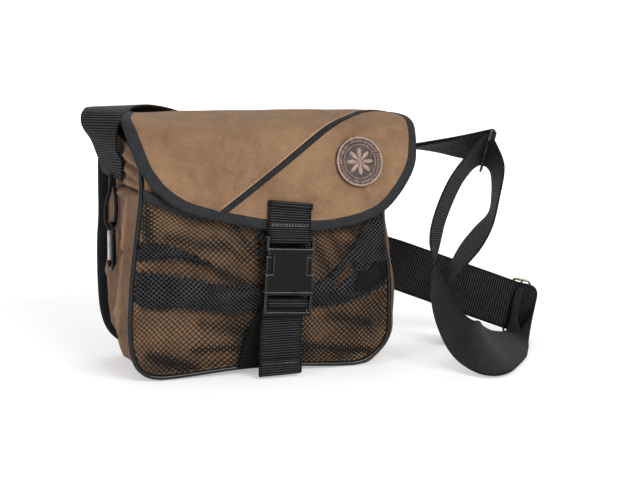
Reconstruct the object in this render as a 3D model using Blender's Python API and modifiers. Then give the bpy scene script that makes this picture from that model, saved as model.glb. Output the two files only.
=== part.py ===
import bpy
import bmesh
import math
from mathutils import Vector, Matrix

# Soft shoulder bag for training dummies. Metres, front faces -Y, floor at z = 0.
mm = 0.001

canvasThick = 1.6
flapThick = 2.2
netThick = 0.8
strapThick = 1.6
frontY = -65.0
backY = 60.0
pipingRadius = 2.1
seamTapeWidth = 10.0
seamTapeThick = 3.0
flapTapeWidth = 9.5
flapTapeThick = 3.4
diagonalWidth = 6.0
shoulderWidth = 50.0
closingWidth = 39.0
patchRadius = 23.0
barRadius = 1.2

slots = {
    "canvas": ((0.352, 0.223, 0.127), 0.85, 0.0),
    "net": ((0.012, 0.012, 0.013), 0.7, 0.0),
    "tape": ((0.016, 0.017, 0.019), 0.75, 0.0),
    "piping": ((0.008, 0.008, 0.009), 0.35, 0.0),
    "webbing": ((0.012, 0.012, 0.013), 0.65, 0.0),
    "acetal": ((0.01, 0.01, 0.011), 0.4, 0.0),
    "leather": ((0.12, 0.075, 0.062), 0.55, 0.0),
    "brass": ((0.45, 0.33, 0.16), 0.35, 1.0),
    "black_alloy": ((0.012, 0.012, 0.013), 0.3, 0.6),
    "steel": ((0.62, 0.62, 0.61), 0.25, 1.0),
}

# body side edges: front height, left, right, then back height, left, right
bodyRows = [
    (198.0, -111.2, 109.2, 222.0, -112.0, 111.0),
    (186.5, -111.6, 110.0, 192.0, -113.0, 110.5),
    (164.0, -111.5, 112.0, 166.0, -113.5, 111.0),
    (134.6, -115.1, 113.5, 136.0, -113.8, 111.5),
    (112.1, -118.1, 116.0, 112.0, -114.0, 112.0),
    (90.0, -121.0, 119.5, 90.0, -114.0, 112.0),
    (71.0, -122.3, 121.0, 72.0, -113.8, 112.0),
    (48.0, -123.6, 121.0, 50.0, -112.5, 111.0),
    (31.0, -122.6, 120.6, 36.0, -109.5, 108.5),
    (20.0, -120.0, 116.0, 27.0, -105.0, 104.0),
    (12.5, -116.3, 108.8, 20.0, -99.0, 98.0),
    (7.0, -110.5, 101.5, 15.0, -92.0, 91.0),
    (4.0, -104.0, 95.0, 12.0, -85.0, 84.0),
    (2.6, -95.0, 86.0, 11.0, -77.0, 76.0),
]

# pocket top edge: x, z
pocketTop = [(-111.0, 170.0), (-104.0, 167.0), (-80.0, 157.0), (-50.0, 150.0),
             (0.0, 146.0), (60.0, 149.0), (95.0, 158.0), (112.0, 166.0)]

# net folds: from x, z to x, z, half width, height out of the surface
netFolds = [
    (-112.0, 113.0, -60.0, 104.0, 7.0, 2.6),
    (-60.0, 104.0, -20.0, 88.0, 6.0, 2.0),
    (-112.0, 82.0, -50.0, 72.0, 8.0, 3.0),
    (-50.0, 72.0, 10.0, 76.0, 7.0, 2.4),
    (-112.0, 96.0, -60.0, 88.0, 5.0, -1.6),
    (52.0, 66.0, 92.0, 80.0, 8.0, 2.6),
    (92.0, 80.0, 112.0, 140.0, 8.0, 2.6),
    (60.0, 95.0, 92.0, 120.0, 6.0, -1.4),
    (-90.0, 32.0, -10.0, 24.0, 8.0, 1.6),
    (40.0, 18.0, 100.0, 22.0, 7.0, 1.8),
]

# side cloth folds: from depth, height to depth, height, half width, height
leftFolds = [
    (-60.0, 178.0, 20.0, 166.0, 5.0, -4.0),
    (-60.0, 188.0, -22.0, 204.0, 6.0, 2.2),
    (-30.0, 160.0, -34.0, 20.0, 7.0, 2.2),
    (-8.0, 150.0, -14.0, 30.0, 6.0, -2.2),
    (26.0, 150.0, 20.0, 40.0, 9.0, 1.6),
]

# flap profile from the front edge to the back seam: depth, height
flapProfile = [
    (-82.4, 129.3), (-82.4, 138.0), (-82.2, 148.0), (-81.5, 160.0), (-80.3, 172.0),
    (-78.5, 186.0), (-76.0, 198.0), (-72.0, 208.0), (-65.0, 217.0), (-54.0, 224.5),
    (-38.0, 229.8), (-18.0, 232.3), (5.0, 231.8), (25.0, 229.8), (42.0, 227.0),
    (57.0, 223.6),
]

# flap outline: distance along the profile, left, right
flapRows = [
    (0.0, 28.0, 56.0), (1.2, 8.0, 66.0), (3.5, -8.0, 80.0), (6.2, -22.0, 91.0),
    (10.8, -43.5, 103.0), (15.0, -60.0, 110.5), (20.8, -76.8, 118.0), (28.0, -89.0, 123.5),
    (36.0, -98.5, 130.0), (46.0, -107.0, 137.0), (54.5, -113.0, 141.5), (63.0, -116.7, 144.5),
    (77.0, -120.8, 146.5), (87.0, -123.0, 147.8), (98.0, -124.0, 149.5), (110.0, -123.6, 151.0),
    (125.0, -120.4, 151.5), (143.0, -113.0, 150.0), (165.0, -108.0, 145.0), (185.0, -106.5, 138.5),
    (202.0, -107.5, 131.0), (216.0, -108.5, 126.5),
]

# diagonal seam: two points, x and distance along the profile
diagonalFrom = (-46.0, 17.3)
diagonalTo = (154.0, 160.0)

# flap dents: from x, distance to x, distance, half width, height
flapFolds = [
    (-100.0, 117.0, -20.0, 101.0, 12.0, -1.5),
    (60.0, 35.0, 100.0, 25.0, 9.0, 0.9),
    (110.0, 75.0, 135.0, 55.0, 8.0, 1.0),
]

# shoulder strap sections: centre x, y, z and the direction across the width
strapRows = [
    (-118.6, 22.0, 174.0, 0.0, -1.0, -0.20),
    (-119.4, 23.0, 192.0, 0.03, -1.0, -0.12),
    (-122.8, 25.0, 212.0, 0.22, -0.95, -0.02),
    (-128.0, 29.0, 229.0, 0.48, -0.87, 0.0),
    (-126.0, 31.0, 235.0, 0.51, -0.857, 0.0),
    (-119.0, 35.0, 237.5, 0.51, -0.857, 0.0),
    (-95.0, 50.0, 237.0, 0.52, -0.85, 0.12),
    (-66.0, 67.0, 223.0, 0.6, -0.6, 0.5),
    (-38.0, 76.0, 202.0, 0.6, -0.2, 0.75),
    (10.0, 79.0, 168.0, 0.56, 0.0, 0.83),
    (65.0, 79.0, 129.0, 0.5, 0.0, 0.86),
    (125.0, 74.0, 92.0, 0.32, -0.12, 0.94),
    (178.0, 55.0, 73.0, 0.32, -0.12, 0.94),
    (236.0, 33.5, 51.0, 0.30, -0.08, 0.94),
    (268.0, 20.5, 39.0, 0.25, -0.02, 0.96),
    (284.0, 10.9, 32.9, 0.20, 0.0, 0.98),
    (293.4, 12.7, 29.8, 0.20, 0.0, 0.98),
    (299.0, 4.5, 27.7, 0.19, 0.0, 0.98),
    (301.5, -3.0, 26.4, 0.17, 0.14, 0.97),
    (301.0, -11.0, 22.5, 0.28, 0.38, 0.86),
    (298.0, -18.5, 18.4, 0.42, 0.58, 0.67),
    (291.0, -28.0, 10.5, 0.46, 0.80, 0.36),
    (280.0, -39.5, 7.4, 0.38, 0.91, 0.19),
    (265.0, -54.0, 7.2, 0.24, 0.95, 0.19),
    (247.0, -74.0, 10.3, 0.0, 0.95, 0.31),
    (218.0, -109.0, 15.6, -0.14, 0.84, 0.52),
    (194.0, -138.0, 21.8, -0.24, 0.58, 0.78),
    (177.0, -152.0, 26.5, -0.15, 0.20, 0.95),
    (166.0, -149.0, 29.5, -0.08, -0.28, 0.93),
    (161.0, -133.0, 35.0, -0.02, -0.54, 0.84),
    (160.0, -110.0, 46.0, -0.06, -0.72, 0.70),
    (159.0, -93.0, 64.0, -0.12, -0.82, 0.56),
    (159.0, -82.0, 84.0, -0.28, -0.88, 0.38),
    (170.0, -58.0, 109.0, -0.56, -0.80, 0.14),
    (179.0, -50.0, 133.0, -0.60, -0.78, 0.18),
    (199.0, -38.0, 163.0, -0.56, -0.76, 0.24),
    (221.0, -27.5, 183.0, -0.32, -0.76, 0.50),
    (234.0, -22.0, 191.5, -0.20, -0.74, 0.64),
    (241.0, -20.6, 191.5, -0.20, -0.76, 0.61),
    (247.5, -20.8, 185.0, -0.23, -0.82, 0.50),
    (253.0, -21.0, 171.0, -0.20, -0.92, 0.24),
    (251.0, -21.0, 147.0, -0.32, -0.94, 0.0),
    (247.5, -18.0, 124.0, -0.38, -0.92, -0.16),
    (236.0, -14.0, 106.0, -0.32, -0.91, -0.30),
    (222.0, -10.0, 88.0, -0.30, -0.92, -0.24),
    (210.0, -6.0, 66.0, -0.34, -0.93, -0.10),
    (205.0, -1.0, 38.0, -0.34, -0.94, 0.0),
    (208.0, 4.0, 14.0, -0.34, -0.94, 0.0),
    (218.0, 6.5, 4.4, -0.33, -0.94, 0.0),
    (234.0, 3.0, 2.6, -0.30, -0.95, 0.0),
    (249.0, -6.0, 2.6, -0.25, -0.97, 0.0),
    (260.0, -22.0, 2.8, -0.24, -0.97, 0.0),
    (267.0, -28.0, 4.6, -0.22, -0.97, -0.07),
    (275.0, -24.0, 11.0, -0.16, -0.93, -0.30),
    (282.5, -11.0, 20.0, -0.14, -0.66, -0.74),
    (287.5, -1.5, 27.0, -0.16, -0.30, -0.94),
    (292.0, 4.0, 29.2, -0.20, -0.05, -0.98),
    (294.0, 7.2, 29.5, -0.20, 0.0, -0.98),
    (292.6, 10.4, 30.0, -0.20, 0.0, -0.98),
]

# tab from the right side out to the ring
tabRows = [
    (124.8, 13.0, 172.0, 0.0, -1.0, 0.0),
    (125.2, 13.0, 184.0, 0.0, -1.0, 0.0),
    (131.0, 12.0, 191.5, 0.0, -1.0, 0.02),
    (150.0, 9.0, 194.0, 0.0, -1.0, 0.05),
    (175.0, 4.0, 195.0, 0.0, -0.98, 0.2),
    (200.0, -5.0, 195.5, -0.05, -0.92, 0.38),
    (220.0, -13.0, 195.5, -0.12, -0.84, 0.52),
    (238.0, -17.5, 195.0, -0.20, -0.75, 0.63),
]

sliderCentre = (291.7, 8.2, 30.2)
sliderAlong = (0.87, -0.37, -0.31)
ringInner = (237.4, -23.2, 187.0)
ringOuter = (243.8, -17.7, 195.5)
ringWidth = (-0.20, -0.74, 0.64)


def clearScene():
    for obj in list(bpy.data.objects):
        bpy.data.objects.remove(obj, do_unlink=True)
    for collection in list(bpy.data.collections):
        bpy.data.collections.remove(collection)


def makeMaterials():
    made = {}
    for name, (colour, rough, metal) in slots.items():
        material = bpy.data.materials.new(name)
        material.use_nodes = True
        shader = material.node_tree.nodes["Principled BSDF"]
        shader.inputs["Base Color"].default_value = (*colour, 1.0)
        shader.inputs["Roughness"].default_value = rough
        shader.inputs["Metallic"].default_value = metal
        made[name] = material
    return made


clearScene()
bag = bpy.data.collections.new("retriever_dummy_bag")
cutters = bpy.data.collections.new("cutters")
bpy.context.scene.collection.children.link(bag)
bpy.context.scene.collection.children.link(cutters)
materials = makeMaterials()


def place(name, data, slot, smooth=True):
    obj = bpy.data.objects.new(name, data)
    bag.objects.link(obj)
    data.materials.append(materials[slot])
    if smooth and hasattr(data, "polygons"):
        data.polygons.foreach_set("use_smooth", [True] * len(data.polygons))
    return obj


def smoothRows(rows, per, cyclic=False):
    # Catmull-Rom through the table rows
    count = len(rows)
    out = []
    last = count if cyclic else count - 1
    for i in range(last):
        if cyclic:
            quad = [rows[(i + k - 1) % count] for k in range(4)]
        else:
            quad = [rows[min(max(i + k - 1, 0), count - 1)] for k in range(4)]
        for step in range(per):
            t = step / per
            row = []
            for a, b, c, d in zip(*quad):
                row.append(0.5 * (2 * b + (c - a) * t + (2 * a - 5 * b + 4 * c - d) * t * t
                                  + (3 * b - a - 3 * c + d) * t ** 3))
            out.append(tuple(row))
    if not cyclic:
        out.append(tuple(rows[-1]))
    return out


def lookUp(table, x, column=1):
    if x <= table[0][0]:
        return table[0][column]
    for low, high in zip(table, table[1:]):
        if x <= high[0]:
            t = (x - low[0]) / (high[0] - low[0])
            return low[column] + t * (high[column] - low[column])
    return table[-1][column]


def foldHeight(a, b, folds):
    total = 0.0
    for a0, b0, a1, b1, wide, high in folds:
        da, db = a1 - a0, b1 - b0
        t = ((a - a0) * da + (b - b0) * db) / (da * da + db * db)
        t = min(max(t, 0.0), 1.0)
        gap = math.hypot(a - a0 - t * da, b - b0 - t * db)
        total += high * math.exp(-(gap / wide) ** 2)
    return total


def sheet(name, grid, thick, slot, closed=False):
    # open cloth surface from rows of points, given its thickness by a modifier
    mesh = bpy.data.meshes.new(name)
    across = len(grid[0])
    points = [tuple(c * mm for c in p) for row in grid for p in row]
    faces = []
    rows = len(grid)
    for i in range(rows if closed else rows - 1):
        j = (i + 1) % rows
        for k in range(across - 1):
            faces.append((i * across + k, i * across + k + 1, j * across + k + 1, j * across + k))
    mesh.from_pydata(points, [], faces)
    mesh.update()
    obj = place(name, mesh, slot)
    solid = obj.modifiers.new("thickness", "SOLIDIFY")
    solid.thickness = thick * mm
    solid.offset = 0.0
    return obj


def strip(name, rows, width, thick, slot, per=2, across=2):
    # webbing along a table of centres and width directions
    grid = []
    for x, y, z, u, v, w in smoothRows(rows, per):
        side = Vector((u, v, w)).normalized() * width / 2
        centre = Vector((x, y, z))
        grid.append([centre + side * (2 * k / across - 1) for k in range(across + 1)])
    return sheet(name, grid, thick, slot)


def tube(name, points, radius, slot, cyclic=False, sides=2):
    curve = bpy.data.curves.new(name, "CURVE")
    curve.dimensions = "3D"
    curve.bevel_depth = radius * mm
    curve.bevel_resolution = sides
    curve.use_fill_caps = True
    spline = curve.splines.new("POLY")
    spline.points.add(len(points) - 1)
    for target, p in zip(spline.points, points):
        target.co = (p[0] * mm, p[1] * mm, p[2] * mm, 1.0)
    spline.use_cyclic_u = cyclic
    return place(name, curve, slot)


def meshFromCurve(obj):
    # turn a curve object into a plain mesh object of the same name
    graph = bpy.context.evaluated_depsgraph_get()
    mesh = bpy.data.meshes.new_from_object(obj.evaluated_get(graph))
    shape = bmesh.new()
    shape.from_mesh(mesh)
    bmesh.ops.remove_doubles(shape, verts=shape.verts, dist=0.00001)
    shape.to_mesh(mesh)
    shape.free()
    name, matrix = obj.name, obj.matrix_world.copy()
    bpy.data.objects.remove(obj, do_unlink=True)
    made = bpy.data.objects.new(name, mesh)
    made.matrix_world = matrix
    return made


def boxMesh(name, low, high, bevel=0.0):
    mesh = bpy.data.meshes.new(name)
    shape = bmesh.new()
    bmesh.ops.create_cube(shape, size=1.0)
    size = [(b - a) * mm for a, b in zip(low, high)]
    middle = [(b + a) / 2 * mm for a, b in zip(low, high)]
    bmesh.ops.scale(shape, vec=size, verts=shape.verts)
    bmesh.ops.translate(shape, vec=middle, verts=shape.verts)
    if bevel:
        bmesh.ops.bevel(shape, geom=shape.edges[:], offset=bevel * mm, segments=2 if bevel > 0.8 else 1,
                        profile=0.6, affect="EDGES")
    shape.to_mesh(mesh)
    shape.free()
    return mesh


def combine(obj, mesh, operation):
    other = bpy.data.objects.new(obj.name + "_" + operation.lower(), mesh)
    cutters.objects.link(other)
    other.parent = obj
    other.hide_render = True
    other.display_type = "WIRE"
    step = obj.modifiers.new(operation.lower(), "BOOLEAN")
    step.operation = operation
    step.solver = "EXACT"
    step.object = other
    return other


# outline of the body at the front and back, left top to right top
def bottomLift(x, low, high, rise):
    middle, half = (low + high) / 2, (high - low) / 2
    return rise * max(0.0, 1 - ((x - middle) / half) ** 2) ** 2


def bodyPaths(inset=0.0, steps=10):
    front, back = [], []
    for row in bodyRows:
        front.append((row[1], row[0]))
        back.append((row[4], row[3]))
    lastRow = bodyRows[-1]
    for k in range(1, steps):
        t = k / steps
        x = lastRow[1] + (lastRow[2] - lastRow[1]) * t
        front.append((x, lastRow[0] + bottomLift(x, lastRow[1], lastRow[2], 4.4)))
        back.append((lastRow[4] + (lastRow[5] - lastRow[4]) * t, lastRow[3]))
    for row in reversed(bodyRows):
        front.append((row[2], row[0]))
        back.append((row[5], row[3]))
    return offsetPath(front, inset), offsetPath(back, inset)


def pathNormals(path):
    # unit normals pointing out of the bag for a path from left top to right top
    out = []
    for i in range(len(path)):
        a = path[max(i - 1, 0)]
        b = path[min(i + 1, len(path) - 1)]
        dx, dz = b[0] - a[0], b[1] - a[1]
        length = math.hypot(dx, dz)
        out.append((dz / length, -dx / length))
    return out


def offsetPath(path, inset):
    return [(p[0] - n[0] * inset, p[1] - n[1] * inset) for p, n in zip(path, pathNormals(path))]


frontPath, backPath = bodyPaths()
rowCount = len(bodyRows)


def swell(x, z, high):
    # how far a front or back panel stands out of its seam
    across = max(0.0, 1 - (x / 122.0) ** 2)
    up = math.sin(min(max(z, 0.0) / 85.0, 1.0) * math.pi / 2)
    if z > 120.0:
        up -= 0.35 * (z - 120.0) / 90.0
    return high * across * up


def panelGrid(path, inset, top, depth, across):
    # rows from the top edge down to the bottom seam of an outline
    path = offsetPath(path, inset)
    left = path[:rowCount]
    right = path[-rowCount:][::-1]
    bottom = path[rowCount - 1:len(path) - rowCount + 1]
    grid = []
    for i in range(rowCount):
        row = []
        for k in range(across + 1):
            t = k / across
            x = left[i][0] + (right[i][0] - left[i][0]) * t
            z = left[i][1] + (right[i][1] - left[i][1]) * t
            lift = lookUp(bottom, x) - bottom[0][1]
            z += max(0.0, lift) * max(0.0, 1 - z / 60.0)
            row.append((x, z))
        grid.append(row)
    if top:
        grid = trimTop(grid, top)
    return [[(x, depth(x, z), z) for x, z in row] for row in grid]


def trimTop(grid, top):
    # move the upper part of the columns down to a top edge table
    across = len(grid[0])
    keep = [row for row in grid if row[0][1] < 150.0 or row is grid[0]]
    out = []
    for row in keep:
        new = []
        for k in range(across):
            x, z = row[k]
            if row is keep[0]:
                x = keep[1][k][0] + (x - keep[1][k][0]) * 0.5
                z = lookUp(top, x)
            new.append((x, z))
        out.append(new)
    first, second = out[0], out[1]
    middle = []
    for part in (0.33, 0.67):
        middle.append([(a[0] + (b[0] - a[0]) * part, a[1] + (b[1] - a[1]) * part)
                       for a, b in zip(first, second)])
    return [first] + middle + out[1:]


def frontDepth(x, z):
    return frontY + 1.0 - swell(x, z, 2.6)


def backDepth(x, z):
    return backY + swell(x, z, 3.0)


def netDepth(x, z):
    soft = min(1.0, max(0.0, (122.0 - abs(x)) / 14.0)) * min(1.0, z / 14.0)
    return frontY - 1.4 - swell(x, z, 10.0) - soft * foldHeight(x, z, netFolds)


sheet("front_panel", panelGrid(frontPath, 2.9, None, frontDepth, 8), canvasThick, "canvas")
sheet("back_panel", panelGrid(backPath, 0.5, None, backDepth, 7), canvasThick, "canvas")

netTop = [(x, z - 9.3) for x, z in pocketTop]
netRows = panelGrid(frontPath, 2.9, netTop, netDepth, 20)
denseRows = [netRows[0]]
for upper, lower in zip(netRows, netRows[1:]):
    gap = abs(upper[0][2] - lower[0][2])
    if gap > 16.0:
        middle = [((a[0] + b[0]) / 2, 0.0, (a[2] + b[2]) / 2) for a, b in zip(upper, lower)]
        denseRows.append([(x, netDepth(x, z), z) for x, _, z in middle])
    denseRows.append(lower)
sheet("mesh_pocket", denseRows, netThick, "net")

edgeLeft, edgeRight = netRows[0][0][0], netRows[0][-1][0]
bandRows = []
for k in range(25):
    x = edgeLeft + (edgeRight - edgeLeft) * k / 24
    z = lookUp(pocketTop, x)
    bandRows.append([(x, netDepth(x, z - 9.3) - 0.2, z - 8.9), (x, netDepth(x, z) - 0.2, z)])
sheet("pocket_binding", bandRows, 2.2, "tape")


# side and bottom cloth, from the front piping to the back seam
def sideSwell(index, count, t):
    side = index / (count - 1)
    wave = math.sin(math.pi * t)
    if side < 0.36:
        return 3.0 * wave
    if side > 0.64:
        low = 1 - abs(side - 0.78) / 0.30
        return (7.0 + 9.0 * max(0.0, low)) * math.sin(math.pi * t ** 0.62)
    return 7.0 * wave


def gussetPoint(index, t, lift=0.0):
    count = len(frontPath)
    a, b = frontPath[index], backPath[index]
    n = normalsFront[index]
    x = a[0] + (b[0] - a[0]) * t
    z = a[1] + (b[1] - a[1]) * t
    y = frontY + 2.7 + (backY - 1.9 - frontY - 2.7) * t
    out = sideSwell(index, count, t)
    if index < rowCount:
        edge = min(1.0, t / 0.1) * min(1.0, (1 - t) / 0.1)
        out += edge * foldHeight(y, z, leftFolds)
    x += n[0] * (out + lift)
    z += n[1] * (out + lift)
    return (x, y, max(z, canvasThick / 2 + 0.02))


normalsFront = pathNormals(frontPath)
depthSteps = [0.0, 0.08, 0.2, 0.35, 0.52, 0.69, 0.85, 1.0]
gussetGrid = [[gussetPoint(i, t) for t in depthSteps] for i in range(len(frontPath))]
sheet("gusset", gussetGrid, canvasThick, "canvas")

pipingPath = [(x, frontY, max(z, pipingRadius + 0.05)) for x, z in frontPath]
tube("front_piping", pipingPath, pipingRadius, "piping")

inner = offsetPath(backPath, 0.0)
outer = offsetPath(backPath, -seamTapeWidth)
bindGrid = [[(a[0], backY, max(a[1], 1.0)), (b[0], backY + 0.6, max(b[1], 0.3))]
            for a, b in zip(inner, outer)]
sheet("back_binding", bindGrid, seamTapeThick, "tape")


# flap surface: x and the distance along the profile
profilePoints = smoothRows(flapProfile, 4)
profileTable = [(0.0, *profilePoints[0])]
for p, q in zip(profilePoints, profilePoints[1:]):
    reach = profileTable[-1][0] + math.hypot(q[0] - p[0], q[1] - p[1])
    profileTable.append((reach, *q))


def onFlap(x, along, lift=0.0):
    y = lookUp(profileTable, along, 1)
    z = lookUp(profileTable, along, 2)
    ahead = (lookUp(profileTable, along + 2, 1), lookUp(profileTable, along + 2, 2))
    behind = (lookUp(profileTable, along - 2, 1), lookUp(profileTable, along - 2, 2))
    dy, dz = ahead[0] - behind[0], ahead[1] - behind[1]
    length = math.hypot(dy, dz) or 1.0
    ny, nz = -dz / length, dy / length
    lift = lift + foldHeight(x, along, flapFolds)
    front = min(1.0, max(0.0, (125.0 - along) / 50.0))
    y += 7.0 * ((x - 10.0) / 125.0) ** 2 * front
    z -= 5.0 * max(0.0, (x - 100.0) / 50.0) ** 2 * min(1.0, along / 120.0)
    return (x, y + ny * lift, z + nz * lift)


leftEdge = [(left, along) for along, left, right in flapRows][::-1]
rightEdge = [(right, along) for along, left, right in flapRows]
flapRim = smoothRows(leftEdge + rightEdge, 2)
flapInner = offsetPath(flapRim, flapTapeWidth)
rimGrid = [[onFlap(*a), onFlap(*b)] for a, b in zip(flapRim, flapInner)]
sheet("flap_binding", rimGrid, flapTapeThick, "tape")


def flapPanel(name, keepUpper):
    # flat grid inside the binding, cut along the diagonal, then laid over the profile
    clear = offsetPath(flapRim, flapTapeWidth + 1.0)
    half = len(clear) // 2
    left = sorted((p[1], p[0]) for p in clear[:half + 1])
    right = sorted((p[1], p[0]) for p in clear[half:])
    bottom = min(p[1] for p in clear) + 0.2
    steps = 18
    across = 12
    shape = bmesh.new()
    grid = []
    for i in range(steps + 1):
        along = bottom + (214.6 - bottom) * (i / steps) ** 1.15
        low, high = lookUp(left, along), lookUp(right, along)
        grid.append([shape.verts.new((low + (high - low) * k / across, along, 0.0))
                     for k in range(across + 1)])
    for i in range(steps):
        for k in range(across):
            shape.faces.new((grid[i][k], grid[i][k + 1], grid[i + 1][k + 1], grid[i + 1][k]))
    start, end = Vector((*diagonalFrom, 0.0)), Vector((*diagonalTo, 0.0))
    away = (end - start).cross(Vector((0.0, 0.0, 1.0))).normalized()
    away = away if not keepUpper else -away
    point = start + away * (diagonalWidth / 2 + 0.3)
    bmesh.ops.bisect_plane(shape, geom=shape.verts[:] + shape.edges[:] + shape.faces[:],
                           dist=0.0001, plane_co=point, plane_no=away, clear_inner=True)
    bmesh.ops.remove_doubles(shape, verts=shape.verts, dist=0.6)
    bmesh.ops.dissolve_degenerate(shape, dist=0.2, edges=shape.edges)
    for vert in shape.verts:
        vert.co = Vector(onFlap(vert.co.x, vert.co.y)) * mm
    mesh = bpy.data.meshes.new(name)
    shape.to_mesh(mesh)
    shape.free()
    obj = place(name, mesh, "canvas")
    solid = obj.modifiers.new("thickness", "SOLIDIFY")
    solid.thickness = flapThick * mm
    solid.offset = 0.0


flapPanel("flap_upper", True)
flapPanel("flap_lower", False)

# tape between the two flap panels
along = Vector((diagonalTo[0] - diagonalFrom[0], diagonalTo[1] - diagonalFrom[1], 0.0))
across = Vector((-along.y, along.x, 0.0)).normalized() * diagonalWidth / 2
tapeGrid = []
for k in range(21):
    p = Vector((*diagonalFrom, 0.0)) + along * (0.045 + 0.849 * k / 20)
    tapeGrid.append([onFlap(p.x - across.x, p.y - across.y, -0.2),
                     onFlap(p.x + across.x, p.y + across.y, -0.2)])
sheet("diagonal_binding", tapeGrid, 1.6, "tape")


# leather patch: a turned disc with a raised rim
def turned(name, profile, steps, slot):
    mesh = bpy.data.meshes.new(name)
    shape = bmesh.new()
    verts = [shape.verts.new((r * mm, 0.0, h * mm)) for r, h in profile]
    edges = [shape.edges.new(pair) for pair in zip(verts, verts[1:])]
    bmesh.ops.spin(shape, geom=verts + edges, cent=(0, 0, 0), axis=(0, 0, 1),
                   angle=2 * math.pi, steps=steps, use_merge=True)
    bmesh.ops.remove_doubles(shape, verts=shape.verts, dist=0.00002)
    bmesh.ops.recalc_face_normals(shape, faces=shape.faces)
    shape.to_mesh(mesh)
    shape.free()
    return place(name, mesh, slot)


patchProfile = [(0.0, 0.0), (22.4, 0.0), (patchRadius, 0.7), (patchRadius, 1.9),
                (22.2, 2.6), (20.8, 2.7), (19.8, 2.0), (0.0, 2.1)]
patch = turned("leather_patch", patchProfile, 28, "leather")
patchAt = Vector(onFlap(88.5, 60.0, flapThick / 2 + 0.9))
ahead = (Vector(onFlap(88.5, 70.0)) - Vector(onFlap(88.5, 50.0))).normalized()
beside = (Vector(onFlap(98.5, 60.0)) - Vector(onFlap(78.5, 60.0))).normalized()
outward = beside.cross(ahead).normalized()
frame = Matrix((beside, outward.cross(beside), outward)).transposed().to_4x4()
frame.translation = patchAt * mm
patch.matrix_world = frame

# closing strap on the flap: down the outside, round the buckle bar, up the inside
flapStrapRows = [
    (16.4, -84.0, 155.6, -0.15), (16.2, -84.8, 148.0, -0.12), (16.0, -86.6, 140.0, -0.09),
    (15.8, -87.4, 134.0, -0.07), (15.6, -88.6, 129.4, -0.06), (15.5, -91.0, 126.6, -0.06),
    (15.4, -92.7, 124.6, -0.06), (15.4, -92.4, 121.8, -0.06), (15.4, -90.2, 120.5, -0.06),
    (15.4, -88.0, 121.7, -0.06), (15.5, -86.5, 125.0, -0.06), (15.6, -85.4, 130.0, -0.06),
    (15.7, -85.3, 138.6, -0.06),
]
strip("flap_strap", [(x, y, z, 1.0, 0.0, tilt) for x, y, z, tilt in flapStrapRows],
      closingWidth, 1.4, "webbing", per=3, across=1)

# lower strap: from the bottom seam up behind, over the ladder bar, then the hanging tail
lowerRows = [
    (-7.0, -69.6, 7.0, -0.02), (-5.0, -73.4, 22.0, -0.04), (-0.5, -78.0, 42.0, -0.05),
    (7.0, -82.2, 56.0, -0.06), (11.4, -84.2, 63.6, -0.06), (12.1, -86.2, 68.4, -0.06),
    (12.2, -89.8, 70.5, -0.06), (12.2, -93.4, 69.6, -0.06), (12.2, -94.9, 67.3, -0.06),
    (12.1, -93.8, 64.7, -0.06), (12.0, -90.8, 63.5, -0.06), (11.6, -88.6, 61.4, -0.05),
    (10.6, -87.6, 57.0, -0.04), (8.0, -87.8, 47.0, 0.0), (6.9, -88.2, 20.0, 0.0),
    (6.5, -88.6, 6.0, 0.02), (6.5, -88.4, 3.4, 0.02), (6.5, -87.5, 2.6, 0.02),
    (6.5, -86.8, 3.8, 0.02), (6.5, -86.7, 13.6, 0.02),
]
strip("lower_strap", [(x, y, z, 1.0, 0.0, tilt) for x, y, z, tilt in lowerRows],
      closingWidth, 1.4, "webbing", per=3, across=1)

# side release buckle, built upright about its own centre and then leaned
buckleAt = Vector((14.1, -90.4, 97.0)) * mm
buckleTurn = Matrix.Rotation(math.radians(3.6), 4, "Y")
buckleFrame = Matrix.Translation(buckleAt) @ buckleTurn


def buckleBox(low, high, bevel=0.0):
    return boxMesh("block", low, high, bevel)


female = place("buckle_female", buckleBox((-21.0, -5.0, -19.2), (21.0, 5.0, 19.0), 1.0),
               "acetal", False)
female.matrix_world = buckleFrame
for side in (-1, 1):
    low, high = sorted((side * 20.0, side * 21.9))
    combine(female, buckleBox((low, -3.4, 17.0), (high, 3.4, 28.8), 0.4), "UNION")
    low, high = sorted((side * 16.0, side * 22.2))
    combine(female, buckleBox((low, -4.8, -19.2), (high, 4.8, -4.4), 1.0), "UNION")
combine(female, buckleBox((-20.4, -1.1, 25.4), (20.4, 1.3, 27.6), 0.4), "UNION")
combine(female, buckleBox((-19.6, -3.3, -24.0), (19.6, 3.3, 16.0)), "DIFFERENCE")
for side in (-1, 1):
    low, high = sorted((side * 15.6, side * 24.0))
    combine(female, buckleBox((low, -6.0, -4.2), (high, 6.0, 13.2)), "DIFFERENCE")

male = place("buckle_male", buckleBox((-22.2, -4.4, -41.0), (22.2, 3.2, -19.6), 1.0),
             "acetal", False)
male.matrix_world = buckleFrame
combine(male, buckleBox((-20.2, -8.0, -37.8), (20.2, 8.0, -22.2)), "DIFFERENCE")
combine(male, buckleBox((-24.0, -0.9, -50.0), (24.0, 8.0, -33.0)), "DIFFERENCE")
combine(male, buckleBox((-20.6, -2.4, -31.2), (20.6, 0.6, -28.2), 0.4), "UNION")
for side in (-1, 1):
    low, high = sorted((side * 13.0, side * 17.4))
    combine(male, buckleBox((low, -2.1, -21.0), (high, 2.1, 10.6), 0.6), "UNION")
    low, high = sorted((side * 15.0, side * 21.4))
    combine(male, buckleBox((low, -2.4, -3.0), (high, 2.4, 11.6), 1.0), "UNION")
combine(male, buckleBox((-2.5, -2.4, -21.0), (2.5, 2.4, 13.0), 0.6), "UNION")

# shoulder strap with its slider, ring and tab
strip("shoulder_strap", strapRows, shoulderWidth, strapThick, "webbing", per=2, across=2)


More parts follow.
